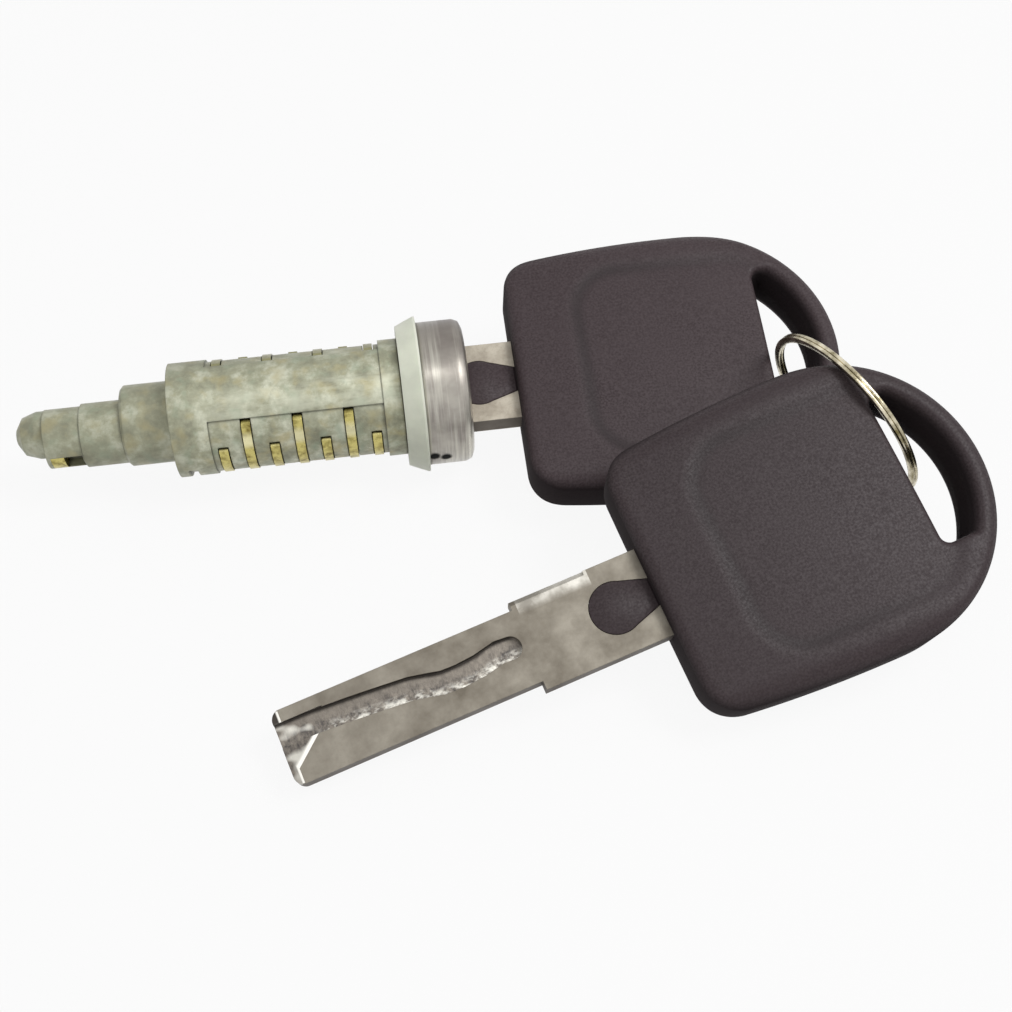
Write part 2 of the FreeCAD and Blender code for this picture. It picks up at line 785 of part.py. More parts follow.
def ramp_cutter(tag):
    """Tilted block that lowers the tip's corner, so that wafer noses can ride up."""
    run_x = RAMP_HIGH[0] - RAMP_LOW[0]
    run_y = RAMP_HIGH[1] - RAMP_LOW[1]
    yaw = math.degrees(math.atan2(run_y, run_x))
    run = math.hypot(run_x, run_y)
    reach = 6.2
    back = 6.0
    box = doc.addObject("Part::Box", f"{tag}_ramp_slope")
    box.Length = run + 2 * back
    bind(box, "Width", "2.7 * Sizes.blade_half")
    bind(box, "Height", "1.5 * Sizes.blade_thick")
    tilt = f"-atan(Sizes.ramp_depth / {reach})"
    start_x = RAMP_LOW[0] - back * run_x / run
    start_y = RAMP_LOW[1] - back * run_y / run
    spot = f"vector({start_x}; {start_y}; Sizes.blade_thick / 2)"
    bind(box, "Placement", f"placement({spot}; rotation({yaw}; 0; {tilt}))")
    reach_box = block(f"{tag}_ramp_reach", ("-1", "-(Sizes.blade_half + 1)", "-1"),
                      (str(RAMP_HIGH[0] + 1), f"{TRACK_PATH[0][1]} + Sizes.track_width / 2", "3"))
    return common(f"{tag}_ramp_cutter", [box, reach_box])


def tip_bevel_cutter(tag):
    """Block that slopes the blade's face down to its tip."""
    box = doc.addObject("Part::Box", f"{tag}_tip_bevel_cutter")
    bind(box, "Length", "4 * Sizes.tip_bevel_length")
    bind(box, "Width", "2 * Sizes.blade_half + 2")
    box.Height = 2
    tilt = "-atan(Sizes.tip_bevel / Sizes.tip_bevel_length)"
    far = "placement(vector(-4 * Sizes.tip_bevel_length; 0; 0); rotation(0; 0; 0))"
    spot = "vector(Sizes.tip_bevel_length; -Sizes.blade_half - 1; Sizes.blade_thick / 2)"
    bind(box, "Placement", f"placement({spot}; rotation(0; {tilt}; 0)) * {far}")
    return box


def bevel_cutter(tag):
    """Block at 45 degrees along the upper edge of the shank."""
    box = doc.addObject("Part::Box", f"{tag}_bevel_cutter")
    slant = math.sqrt(0.5)
    bind(box, "Length", "Sizes.bevel_end - Sizes.shank_start + 1")
    bind(box, "Width", "Sizes.blade_thick")
    box.Height = 2
    spot = ("vector(Sizes.shank_start - 1;"
            f" Sizes.shank_half - Sizes.bevel_size - {slant}; Sizes.blade_thick / 2 + {slant})")
    bind(box, "Placement", f"placement({spot}; rotation(0; 0; -45))")
    return box


def make_blade(tag):
    blank = make_blade_blank(f"{tag}_blade")
    tools = fuse(f"{tag}_blade_cutters",
                 [track_cutter(tag), ramp_cutter(tag), tip_bevel_cutter(tag), bevel_cutter(tag)])
    blade = cut(f"{tag}_blade", blank, tools)
    return blade


def head_outline(growth="0"):
    """D-shaped head: straight edge at the blade, bowed sides and a half-round end."""
    corner_x = "(Sizes.head_start + Sizes.head_corner)"
    inner = "(Sizes.head_side_arc - Sizes.head_corner)"
    low = "(Sizes.head_half - Sizes.head_side_arc)"
    corner_y = f"({low} + sqrt({inner}^2 - (Sizes.head_wide_at - {corner_x})^2))"
    side_arc = f"(Sizes.head_side_arc + ({growth}))"
    corner = f"(Sizes.head_corner + ({growth}))"
    half = f"(Sizes.head_half + ({growth}))"
    start = f"Sizes.head_start - ({growth})"
    side_x = f"Sizes.head_wide_at + ({corner_x} - Sizes.head_wide_at) * {side_arc} / {inner}"
    side_y = f"{low} + ({corner_y} - {low}) * {side_arc} / {inner}"
    wide = "Sizes.head_wide_at"
    return [
        (start, f"-{corner_y}"),
        (start, corner_y, corner, "right"),
        (side_x, side_y, side_arc, "right"),
        (wide, half, half + " * 1.0001", "right"),
        (f"{wide} + {half}", "0", half + " * 1.0001", "right"),
        (wide, f"-{half}", side_arc, "right"),
        (side_x, f"-({side_y})", corner, "right"),
    ]


# Straight side of the ring loop
LOOP_START = "(Sizes.head_wide_at + Sizes.loop_ahead)"


def panel_outline(growth):
    """Rounded rectangle of the thumb panel, enlarged all round by a growth."""
    start = f"({LOOP_START} - Sizes.panel_length - ({growth}))"
    end = f"({LOOP_START} - Sizes.panel_short + ({growth}))"
    half = f"(Sizes.panel_half + ({growth}))"
    arc = f"(Sizes.panel_corner + ({growth}))"
    curve = f"{arc} * 1.0001"
    return [
        (f"{start} + {arc}", f"-{half}"),
        (f"{end} - {arc}", f"-{half}", curve, "left"),
        (end, f"-{half} + {arc}"),
        (end, f"{half} - {arc}", curve, "left"),
        (f"{end} - {arc}", half),
        (f"{start} + {arc}", half, curve, "left"),
        (start, f"{half} - {arc}"),
        (start, f"-{half} + {arc}", curve, "left"),
    ]


def extrude(name, sketch, height):
    result = doc.addObject("Part::Extrusion", name)
    result.Base = sketch
    result.DirMode = "Custom"
    result.Dir = FreeCAD.Vector(0, 0, 1)
    result.Solid = True
    bind(result, "LengthFwd", height)
    return result


def lens(name, rise):
    """Space between two large spheres: the crowned faces of the head."""
    arc = f"(Sizes.crown_arc - Sizes.head_rise + {rise})"
    balls = []
    for side in (-1, 1):
        ball = doc.addObject("Part::Sphere", f"{name}_{'low' if side < 0 else 'high'}")
        bind(ball, "Radius", arc)
        centre = f"{side} * (Sizes.crown_arc - Sizes.head_rise)"
        bind(ball, "Placement", f"placement(vector(Sizes.head_wide_at - Sizes.crown_back; 0; {centre}); rotation(0; 0; 0))")
        balls.append(ball)
    return common(name, balls)


def rounded_slab(tag):
    """Stack of outlines that steps in towards both faces round a quarter circle."""
    steps = []
    for degrees in (90, 45, 0):
        inset = f"Sizes.head_edge * (cos({degrees} deg) - 1)"
        height = f"(Sizes.head_flat_side + Sizes.head_edge * sin({degrees} deg))"
        steps.append((inset, height))
    # The last outline runs on past the crown, which trims it
    inset, height = steps[0]
    steps[0] = (f"{inset} - 2", f"({height} + 1)")
    levels = [(inset, f"-{height}") for inset, height in steps]
    levels += [(inset, height) for inset, height in reversed(steps)]
    sections = []
    for number, (inset, height) in enumerate(levels):
        sketch = free_sketch(f"{tag}_head_level_{number}", height)
        draw(sketch, head_outline(inset))
        sections.append(sketch)
    slab = doc.addObject("Part::Loft", f"{tag}_head_slab")
    slab.Sections = sections
    slab.Solid = True
    slab.Ruled = True
    return slab


def upright_edges(shape, radius):
    """Edges parallel to Z, for the loop's round corners."""
    chosen = []
    for number, edge in enumerate(shape.Edges, start=1):
        if edge.BoundBox.ZLength > 2.5:
            chosen.append((number, radius, radius))
    return chosen


def make_head(tag):
    """Moulded head with crowned faces, thumb panels, ring loop and the lug on the blade."""
    top = "(Sizes.head_rise + 1)"
    blank = rounded_slab(tag)
    crowned = common(f"{tag}_head_blank", [blank, lens(f"{tag}_crown", "Sizes.head_rise")])
    # Panel cutter: a flared block down to a floor that follows the crown
    low = free_sketch(f"{tag}_panel_low", "Sizes.head_rise - Sizes.panel_depth - 1.5")
    draw(low, panel_outline("0"))
    high = free_sketch(f"{tag}_panel_high", "Sizes.head_rise - Sizes.panel_depth + 1.5")
    draw(high, panel_outline("3 * Sizes.panel_slope"))
    flare = doc.addObject("Part::Loft", f"{tag}_panel_flare")
    flare.Sections = [low, high]
    flare.Solid = True
    flare.Ruled = True
    upper = cut(f"{tag}_panel_upper", flare,
                lens(f"{tag}_panel_floor", "Sizes.head_rise - Sizes.panel_depth"))
    lower = doc.addObject("Part::Mirroring", f"{tag}_panel_lower")
    lower.Source = upper
    lower.Normal = FreeCAD.Vector(0, 0, 1)
    # Ring loop
    loop_sketch = free_sketch(f"{tag}_loop_outline", f"-{top}")
    wide = "Sizes.head_wide_at"
    draw(loop_sketch, [
        (LOOP_START, "-Sizes.loop_low"),
        (f"{wide} + sqrt(Sizes.loop_arc^2 - Sizes.loop_low^2)", "-Sizes.loop_low",
         "Sizes.loop_arc", "left"),
        (LOOP_START, "sqrt(Sizes.loop_arc^2 - Sizes.loop_ahead^2)"),
    ])
    loop_prism = extrude(f"{tag}_loop_prism", loop_sketch, f"2 * {top}")
    doc.recompute()
    loop = doc.addObject("Part::Fillet", f"{tag}_loop")
    loop.Base = loop_prism
    loop.Edges = upright_edges(loop_prism.Shape, value("Sizes.loop_round"))
    # Socket round the blade's tang, and the lug that fills its eye
    side = "Sizes.shank_half + Sizes.mould_gap"
    flat = "Sizes.blade_thick / 2 + Sizes.mould_gap"
    socket = block(f"{tag}_socket", ("Sizes.head_start - 1", f"-({side})", f"-({flat})"),
                   ("Sizes.head_wide_at - Sizes.tang_back + Sizes.mould_gap", side, flat))
    tools = fuse(f"{tag}_head_cutters", [upper, lower, loop, socket])
    shell = cut(f"{tag}_head_shell", crowned, tools)
    proud = "(Sizes.blade_thick / 2 + Sizes.lug_proud)"
    disc = rod(f"{tag}_lug_disc", "Sizes.lug_half", f"2 * {proud}",
               ("Sizes.lug_at", "0", f"-{proud}"), "0; 0; 0")
    neck_sketch = free_sketch(f"{tag}_lug_neck_outline", f"-{proud}")
    draw(neck_sketch, lug_neck_outline("-Sizes.mould_gap"))
    bar = extrude(f"{tag}_lug_neck", neck_sketch, f"2 * {proud}")
    head = fuse(f"{tag}_head", [shell, disc, bar])
    return head


def make_key(tag, place):
    blade = make_blade(tag)
    head = make_head(tag)
    for piece in (blade, head):
        place(piece)
    return [blade, head]


def make_ring():
    """Split ring of flat wire, modelled closed."""
    body = new_body("key_ring")
    inner = "Sizes.ring_radius - Sizes.ring_section / 2"
    outer = "Sizes.ring_radius + Sizes.ring_section / 2"
    half = "Sizes.ring_height / 2"
    profile = body_sketch(body, "ring_section_outline", "XZ_Plane")
    draw(profile, [
        (inner, f"-{half}"),
        (outer, f"-{half}"),
        (outer, half),
        (inner, half),
    ])
    feature = body.newObject("PartDesign::Revolution", "ring_coils")
    feature.Profile = profile
    feature.ReferenceAxis = (profile, ["V_Axis"])
    feature.Angle = 360
    bind(body, "Placement", RING_PLACE)
    return body


def export(pieces):
    """Write one STEP file per piece, after checking every object."""
    doc.recompute()
    for thing in doc.Objects:
        if "Invalid" in thing.State or "Error" in thing.State:
            raise RuntimeError(f"{thing.Label} is {thing.State}")
    for piece in pieces:
        shape = piece.Shape
        if shape.isNull() or not shape.isValid() or not shape.Solids:
            raise RuntimeError(f"{piece.Label} has no valid solid")
        shape.exportStep(f"parts/{piece.Label}.step")


pieces = [make_plug(), make_tail_insert(), make_cap(), make_seal()]
pieces += [make_wafer(index) for index in range(WAFER_COUNT)]
pieces += [make_spring(index) for index in range(WAFER_COUNT)]
pieces += make_key("key_1", lay)
pieces += make_key("key_2", lay_key_2)
pieces.append(make_ring())
export(pieces)
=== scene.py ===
"""Studio scene of a wafer lock core with one key in its keyway and a second key on the ring."""

import math

import bpy
import numpy as np
from mathutils import Euler, Matrix, Vector
from mathutils.geometry import delaunay_2d_cdt

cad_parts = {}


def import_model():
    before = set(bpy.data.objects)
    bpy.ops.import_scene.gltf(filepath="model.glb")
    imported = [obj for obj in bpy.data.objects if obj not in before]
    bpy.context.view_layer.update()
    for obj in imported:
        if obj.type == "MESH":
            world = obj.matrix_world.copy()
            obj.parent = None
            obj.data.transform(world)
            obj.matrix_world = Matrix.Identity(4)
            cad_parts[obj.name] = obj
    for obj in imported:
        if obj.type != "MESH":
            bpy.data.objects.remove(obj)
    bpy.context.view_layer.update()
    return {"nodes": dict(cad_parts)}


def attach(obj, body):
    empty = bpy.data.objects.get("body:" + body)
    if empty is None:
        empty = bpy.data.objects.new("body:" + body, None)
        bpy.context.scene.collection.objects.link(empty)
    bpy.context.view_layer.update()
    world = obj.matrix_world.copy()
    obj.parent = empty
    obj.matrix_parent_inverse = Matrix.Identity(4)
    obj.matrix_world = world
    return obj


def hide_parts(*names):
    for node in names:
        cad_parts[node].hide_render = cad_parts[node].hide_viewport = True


MM = 0.001

# Camera, from the fit to the photograph
CAMERA_PLACE = Vector((28.78, -130.01, 143.32)) * MM
CAMERA_FORWARD = Vector((0.07499, 0.60730, -0.79092))
CAMERA_UP = Vector((0.11330, 0.78283, 0.61183))
CAMERA_LENS = 52.28
SENSOR_WIDTH = 36.0

FLOOR_HEIGHT = -10.3 * MM
FLOOR_SIZE = 3.0

# Sizes of the solids that the dressed pieces follow, in millimetres, and the roll in degrees
LYING_ROLL = 15.0
HEAD_START = 46.4
HEAD_WIDE_AT = 71.0
HEAD_HALF = 18.15
HEAD_CORNER = 4.8
HEAD_SIDE_ARC = 190.0
HEAD_RISE = 4.78
CROWN_ARC = 260.0
CROWN_AT = 66.0
LOOP_START = 79.6
LOOP_ARC = 15.2
LOOP_LOW = 8.8
LOOP_ROUND = 1.2
LUG_AT = 41.5
LUG_HALF = 3.18
LUG_NECK = 1.73
LUG_TOP = 1.56
RING_RADIUS = 12.1
RING_SECTION = 0.9
RING_HEIGHT = 1.0
BLADE_HALF = 4.5
BLADE_FACE = 1.5

# Thumb panel as it looks, outer edge of its soft border, in millimetres
PANEL_LOW = (54.9, -13.75)
PANEL_HIGH = (82.0, 13.75)
PANEL_CORNER = 6.5
PANEL_DEPTH = 0.34
PANEL_BORDER = (-1.3, 1.2)

# Lug: chamfer, its shrink, how far it runs into the head, and the cosine of its open angle
LUG_EDGE = 0.1
LUG_SHRINK = 0.96
LUG_ROOT = 1.6
LUG_OPEN = 0.43

# Split ring: chamfer and gap between coils in millimetres, and angles in degrees along the wire
RING_EDGE = 0.09
COIL_GAP = 0.02
RING_ENDS = (14.0, 706.0)
RING_CROSSING = (346, 374)
RING_START = 150
RING_STEPS = 300

# Corners of the moulded heads as (width, drop) of the rounding, and the height of the ridge
# at the parting line under the bow, in millimetres
LOOP_RIDGE = 0.6
RIM_SIDE = (2.7, 1.7)
RIM_BLADE = (1.3, 1.1)
RIM_BOW = (1.3, 1.2)
LOOP_SHARP = (0.8, 0.75)
LOOP_FLARE = (0.45, 2.15)

# Grid of points over a head's face, in millimetres
FACE_STEP = 0.36
FACE_LONG = 46
FACE_WIDE = 38
FINE_REACH = 1.7
RIM_GAP = 0.3
LOOP_GAP = 0.25

# Marks, painted highlights and painted shade on the plug and the cup, in millimetres in the
# lock's own frame
TOP_MARKS = 3.0
SEAM_START = (17.0, 21.0)
HIGHLIGHT_BAND_AT = -2.1
HIGHLIGHT_BAND_EDGE = (0.8, 3.4)
HIGHLIGHT_BAND_START = (3.0, 9.0)
NOSE_SHADE = (1.5, 5.0)
FAR_SIDE_SHADE = (0.5, 4.5)
WAFER_SHINE_AT = 4.0
WAFER_SHINE_EDGE = (0.3, 1.1)
STAKES = ((34.6, 0.4), (36.1, -0.1))
STAKE_EDGE = (0.4, 0.7)
STAKE_SIDE = -8.0

# Marks, painted highlights, glints and painted shade on a blade, in millimetres in the key's own
# frame; NARROW_END is just short of its wide part, and the track's edges are measured from its
# centre line
NARROW_END = 31.0
TRACK_LOW_EDGE = (-1.3, -0.1)
TRACK_HIGH_EDGE = (0.95, 1.25)
TIP_END = (3.5, 5.0)
FLECKS_START = (4.0, 5.5)
RIDGE_HEIGHT = (1.38, 1.43)
RIDGE_END = (7.0, 10.0)
SHINE_WIDTH = (3.6, 4.5)
SHINE_AT = 35.5
SHINE_REACH = 4.6

# Centre line of the milled track, for the tool marks on its floor
TRACK = ((0.0, 1.65), (3.0, 1.65), (5.7, 1.52), (8.5, 1.35), (11.8, 1.1), (15.9, 0.75),
         (18.0, 0.3), (19.7, -0.1), (21.7, -0.15), (24.2, 0.05), (26.9, 0.6), (30.0, 0.5))

# Colours as they are written into the shaders (linear)
ZINC_WARM = (0.44, 0.38, 0.19)
ZINC_GREEN = (0.30, 0.37, 0.27)
ZINC_DARK = (0.23, 0.23, 0.16)
ZINC_MID = (0.37, 0.375, 0.265)
ZINC_PALE = (0.60, 0.61, 0.48)
BRASS_DARK = (0.20, 0.16, 0.045)
BRASS_PALE = (0.53, 0.465, 0.165)
BRASS_SHINE = (0.84, 0.80, 0.52)
BRASS_FAR_SHADE = (0.24, 0.24, 0.15)
STEEL_DARK = (0.25, 0.225, 0.205)
STEEL_PALE = (0.46, 0.435, 0.385)
STEEL_SHINE = (0.74, 0.72, 0.63)
STEEL_SHADE = (0.15, 0.13, 0.115)
STAKE_SHADE_BLACK = (0.01, 0.01, 0.01)
NICKEL_DARK = (0.20, 0.175, 0.14)
NICKEL_PALE = (0.36, 0.33, 0.275)
GROOVE_DARK = (0.075, 0.068, 0.066)
GROOVE_PALE = (0.225, 0.20, 0.17)
GROOVE_SHADOW = (0.03, 0.025, 0.022)
FLECK_GLINT = (0.9, 0.88, 0.8)
RIDGE_GLINT = (0.95, 0.93, 0.87)
SHINE_COLOUR = (0.78, 0.76, 0.70)
BLADE_WALL_SHADE = (0.055, 0.042, 0.034)
MOULDING_DARK = (0.029, 0.019, 0.021)
MOULDING_PALE = (0.054, 0.040, 0.043)
PANEL_SHADE_COLOUR = (0.014, 0.009, 0.010)
HEAD_WALL_SHADE = (0.012, 0.008, 0.009)
SEAL_COLOUR = (0.66, 0.68, 0.57)
CREVICE_SHADE = (0.035, 0.032, 0.022)
RING_DARK = (0.18, 0.15, 0.07)
RING_PALE = (0.78, 0.72, 0.56)
SPRING_DARK = (0.35, 0.35, 0.35)
SPRING_PALE = (0.5, 0.5, 0.5)
PAPER_COLOUR = (0.55, 0.55, 0.55)

# The two keys lie at different tilts; these stand in for the light that each one takes
BLADE_TONES = (1.4, 0.76)
HEAD_TONES = (1.12, 0.86)

# Strength of the surround as light, at the horizon and overhead
SKY_LIGHT = (0.08, 0.85)

# Share of the floor that lets the surround show
FLOOR_CLEAR = 0.92


def turned(yaw, pitch, roll):
    """Rotation by yaw, pitch and roll in degrees."""
    angles = [math.radians(angle) for angle in (roll, pitch, yaw)]
    return Euler(angles, "XYZ").to_matrix().to_4x4()


def moved(x, y, z=0.0):
    """Shift in millimetres."""
    return Matrix.Translation(Vector((x, y, z)) * MM)


# Where the keys and the ring lie, by the same chain as the solids
LOCK_PLACE = turned(0, 0, LYING_ROLL)
RING_PLACE = (LOCK_PLACE @ moved(HEAD_WIDE_AT + 10.95, -2.53) @ turned(-63.6, -26.75, -80.35)
              @ moved(RING_RADIUS, 0))
KEY_2_PLACE = (RING_PLACE @ turned(-1.7, 0, 0) @ moved(RING_RADIUS, 0)
               @ turned(47.2, -74.2, 75.35) @ moved(-HEAD_WIDE_AT - 11.3, -2.75))
KEY_PLACES = (LOCK_PLACE, KEY_2_PLACE)


def toned(colour, tone):
    """Lighter or darker colour, no brighter than white."""
    return tuple(min(1.0, part * tone) for part in colour)


class Nodes:
    """Small builder for one material's node tree."""

    def __init__(self, name, frame_place=None):
        self.material = bpy.data.materials.new(name)
        self.material.use_nodes = True
        self.tree = self.material.node_tree
        self.shader = self.tree.nodes["Principled BSDF"]
        self.place = self.add("ShaderNodeTexCoord").outputs["Object"]
        if frame_place is not None:
            # Coordinates in the piece's own frame, so that patterns can follow its form
            mapping = self.add("ShaderNodeMapping", vector_type="TEXTURE")
            mapping.inputs["Location"].default_value = frame_place.to_translation()
            mapping.inputs["Rotation"].default_value = frame_place.to_euler("XYZ")
            self.link(self.place, mapping.inputs["Vector"])
            self.place = mapping.outputs["Vector"]

    def add(self, kind, **settings):
        node = self.tree.nodes.new(kind)
        for name, setting in settings.items():
            setattr(node, name, setting)
        return node

    def link(self, source, target):
        self.tree.links.new(source, target)

    def feed(self, source, target):
        """Link a socket, or set a plain number or colour."""
        if isinstance(source, (int, float)):
            target.default_value = source
        elif isinstance(source, tuple):
            target.default_value = (*source, 1.0)
        else:
            self.link(source, target)

    def set(self, **values):
        for name, number in values.items():
            self.shader.inputs[name.replace("_", " ")].default_value = number

    def axes(self):
        """The three coordinates, in millimetres."""
        scale = self.add("ShaderNodeVectorMath", operation="SCALE")
        scale.inputs["Scale"].default_value = 1 / MM
        self.link(self.place, scale.inputs[0])
        split = self.add("ShaderNodeSeparateXYZ")
        self.link(scale.outputs[0], split.inputs[0])
        return split.outputs

    def math(self, operation, first, second=0.0, third=0.0):
        node = self.add("ShaderNodeMath", operation=operation)
        for socket, source in zip(node.inputs, (first, second, third)):
            self.feed(source, socket)
        return node.outputs[0]

    def times(self, first, *others):
        """Product of several numbers."""
        for other in others:
            first = self.math("MULTIPLY", first, other)
        return first

    def away(self, source, middle):
        """Distance of a number from a middle value."""
        return self.math("ABSOLUTE", self.math("SUBTRACT", source, middle))

    def length(self, first, second):
        """Length of the diagonal over two distances."""
        squares = self.math("ADD", self.times(first, first), self.times(second, second))
        return self.math("SQRT", squares)

    def scaled(self, *scale):
        """Coordinates scaled on each axis, for grain that runs one way."""
        mapping = self.add("ShaderNodeMapping")
        mapping.inputs["Scale"].default_value = scale
        self.link(self.place, mapping.inputs["Vector"])
        return mapping.outputs["Vector"]

    def noise(self, scale, detail=4.0, roughness=0.6, vector=None):
        node = self.add("ShaderNodeTexNoise")
        node.inputs["Scale"].default_value = scale
        node.inputs["Detail"].default_value = detail
        node.inputs["Roughness"].default_value = roughness
        self.link(vector or self.place, node.inputs["Vector"])
        return node.outputs["Fac"]

    def ramp(self, source, stops):
        """Colour ramp with (position, colour) stops."""
        node = self.add("ShaderNodeValToRGB")
        elements = node.color_ramp.elements
        while len(elements) < len(stops):
            elements.new(0.5)
        for element, (position, colour) in zip(elements, stops):
            element.position = position
            element.color = (*colour, 1.0)
        self.link(source, node.inputs["Fac"])
        return node.outputs["Color"]

    def curve(self, source, points, low, high):
        """A smooth line through (x, y) points as a number; y lies between low and high."""
        node = self.add("ShaderNodeFloatCurve")
        bend = node.mapping.curves[0]
        first, last = points[0][0], points[-1][0]
        while len(bend.points) < len(points):
            bend.points.new(0.5, 0.5)
        for spot, (x, y) in zip(bend.points, points):
            spot.location = ((x - first) / (last - first), (y - low) / (high - low))
        node.mapping.update()
        self.link(self.grey(source, 0.0, 1.0, first, last), node.inputs["Value"])
        return self.grey(node.outputs[0], low, high, 0.0, 1.0)

    def grey(self, source, low, high, start=0.3, end=0.7, smooth=False):
        """A number between two levels, as a pattern goes from start to end."""
        node = self.add("ShaderNodeMapRange")
        if smooth:
            node.interpolation_type = "SMOOTHSTEP"
        node.inputs["From Min"].default_value = start
        node.inputs["From Max"].default_value = end
        node.inputs["To Min"].default_value = low
        node.inputs["To Max"].default_value = high
        self.link(source, node.inputs["Value"])
        return node.outputs["Result"]

    def blend(self, first, second, amount):
        """Mix two colours; amount is a number or a socket."""
        node = self.add("ShaderNodeMix", data_type="RGBA")
        self.feed(amount, node.inputs["Factor"])
        targets = [socket for socket in node.inputs if socket.type == "RGBA"]
        for socket, colour in zip(targets, (first, second)):
            self.feed(colour, socket)
        return next(socket for socket in node.outputs if socket.type == "RGBA")

    def mix(self, first, second, amount):
        """Mix two numbers; any of the three may be a socket."""
        node = self.add("ShaderNodeMix", data_type="FLOAT")
        floats = [socket for socket in node.inputs if socket.type == "VALUE"]
        for socket, source in zip(floats, (amount, first, second)):
            self.feed(source, socket)
        return next(socket for socket in node.outputs if socket.type == "VALUE")

    def colour(self, source):
        self.link(source, self.shader.inputs["Base Color"])

    def rough(self, source):
        self.link(source, self.shader.inputs["Roughness"])

    def crevice_shade_mask(self, reach, low=0.35, high=0.85):
        """Mask for painted shade: 1 in tight corners and gaps, 0 on open surfaces; reach in
        millimetres.
        """
        node = self.add("ShaderNodeAmbientOcclusion", samples=8)
        node.inputs["Distance"].default_value = reach * MM
        return self.grey(node.outputs["AO"], 1.0, 0.0, low, high)

    def soft_edges(self, radius):
        """Shading that rounds the edges of the solid by a radius in millimetres."""
        node = self.add("ShaderNodeBevel", samples=6)
        node.inputs["Radius"].default_value = radius * MM
        return node.outputs["Normal"]

    def bump(self, *layers, normal=None):
        """Stack bump layers, each (height, strength, depth in metres), on a normal."""
        for height, strength, depth in layers:
            node = self.add("ShaderNodeBump")
            self.feed(strength, node.inputs["Strength"])
            node.inputs["Distance"].default_value = depth
            self.link(height, node.inputs["Height"])
            if normal is not None:
                self.link(normal, node.inputs["Normal"])
            normal = node.outputs["Normal"]
        self.link(normal, self.shader.inputs["Normal"])


def zinc():
    """Die-cast zinc: greenish grey, mottled, with fine pits and a faint mould seam, a painted
    highlight band along the top, and painted shade at the nose, on the far side and in corners.
    """
    m = Nodes("cast_zinc", LOCK_PLACE)
    m.set(Metallic=0.35)
    blotch = m.noise(290, 5, 0.65)
    grain = m.noise(1500, 3, 0.7)
    streak = m.noise(1.0, 4, 0.65, m.scaled(190, 620, 620))
    tint = m.noise(420, 2, 0.5)
    x, y, z = m.axes()
    on_top = m.math("GREATER_THAN", z, TOP_MARKS)

    # Seam of the mould, a wandering line
    across = m.math("ABSOLUTE", m.math("ADD", y, m.grey(streak, 0.1, 0.7)))
    seam = m.times(m.grey(across, 1.0, 0.0, 0.05, 0.25), on_top, m.grey(x, 0.0, 1.0, *SEAM_START))
    # Painted highlight: a bright band along the top of the body
    painted_highlight = m.times(m.grey(m.away(y, HIGHLIGHT_BAND_AT), 1.0, 0.0, *HIGHLIGHT_BAND_EDGE, smooth=True), on_top,
                     m.grey(x, 0.0, 1.0, *HIGHLIGHT_BAND_START), m.grey(streak, 0.05, 0.6, 0.35, 0.6))

    cast = m.ramp(blotch, [(0.36, ZINC_DARK), (0.5, ZINC_MID), (0.63, ZINC_PALE)])
    cast = m.blend(cast, ZINC_WARM, m.grey(tint, 0.0, 0.6, 0.52, 0.7))
    cast = m.blend(cast, ZINC_GREEN, m.grey(tint, 0.5, 0.0, 0.3, 0.44))
    cast = m.blend(cast, ZINC_DARK, m.grey(grain, 0.0, 0.5, 0.55, 0.75))
    cast = m.blend(cast, ZINC_DARK, m.times(seam, 0.35))
    # Painted shade: darker towards the nose
    cast = m.blend(cast, ZINC_DARK, m.grey(x, 0.4, 0.0, *NOSE_SHADE))
    # Paints the highlight band in the cast's colour
    cast = m.blend(cast, ZINC_PALE, painted_highlight)
    # Painted shade: darker on the far side of the body
    cast = m.blend(cast, ZINC_DARK, m.grey(y, 0.0, 0.45, *FAR_SIDE_SHADE))
    # Painted shade in corners and gaps
    m.colour(m.blend(cast, CREVICE_SHADE, m.crevice_shade_mask(0.7)))
    m.rough(m.grey(blotch, 0.52, 0.36))
    m.bump((blotch, 0.35, 0.08 * MM), (grain, 0.3, 0.02 * MM), (seam, 0.5, 0.05 * MM),
           normal=m.soft_edges(0.25))
    return m.material


def brass():
    """Stamped brass, with a painted highlight band across the wafers and painted shade on their
    far ends and in corners.
    """
    m = Nodes("stamped_brass", LOCK_PLACE)
    m.set(Metallic=1.0)
    wear = m.noise(900, 4, 0.6)
    x, y, z = m.axes()
    brassy = m.ramp(wear, [(0.32, BRASS_DARK), (0.55, BRASS_PALE)])
    # Painted highlight: a bright band across the wafers' ends
    painted_highlight = m.grey(m.away(z, WAFER_SHINE_AT), 0.75, 0.0, *WAFER_SHINE_EDGE)
    brassy = m.blend(brassy, BRASS_SHINE, painted_highlight)
    # Painted shade on the wafers' far ends
    brassy = m.blend(brassy, BRASS_FAR_SHADE, m.grey(y, 0.0, 0.85, -1.0, 1.0))
    # Painted shade in corners and gaps
    m.colour(m.blend(brassy, CREVICE_SHADE, m.crevice_shade_mask(0.5)))
    m.rough(m.grey(wear, 0.42, 0.24))
    m.bump((m.noise(2600, 2), 0.25, 0.01 * MM), normal=m.soft_edges(0.12))
    return m.material


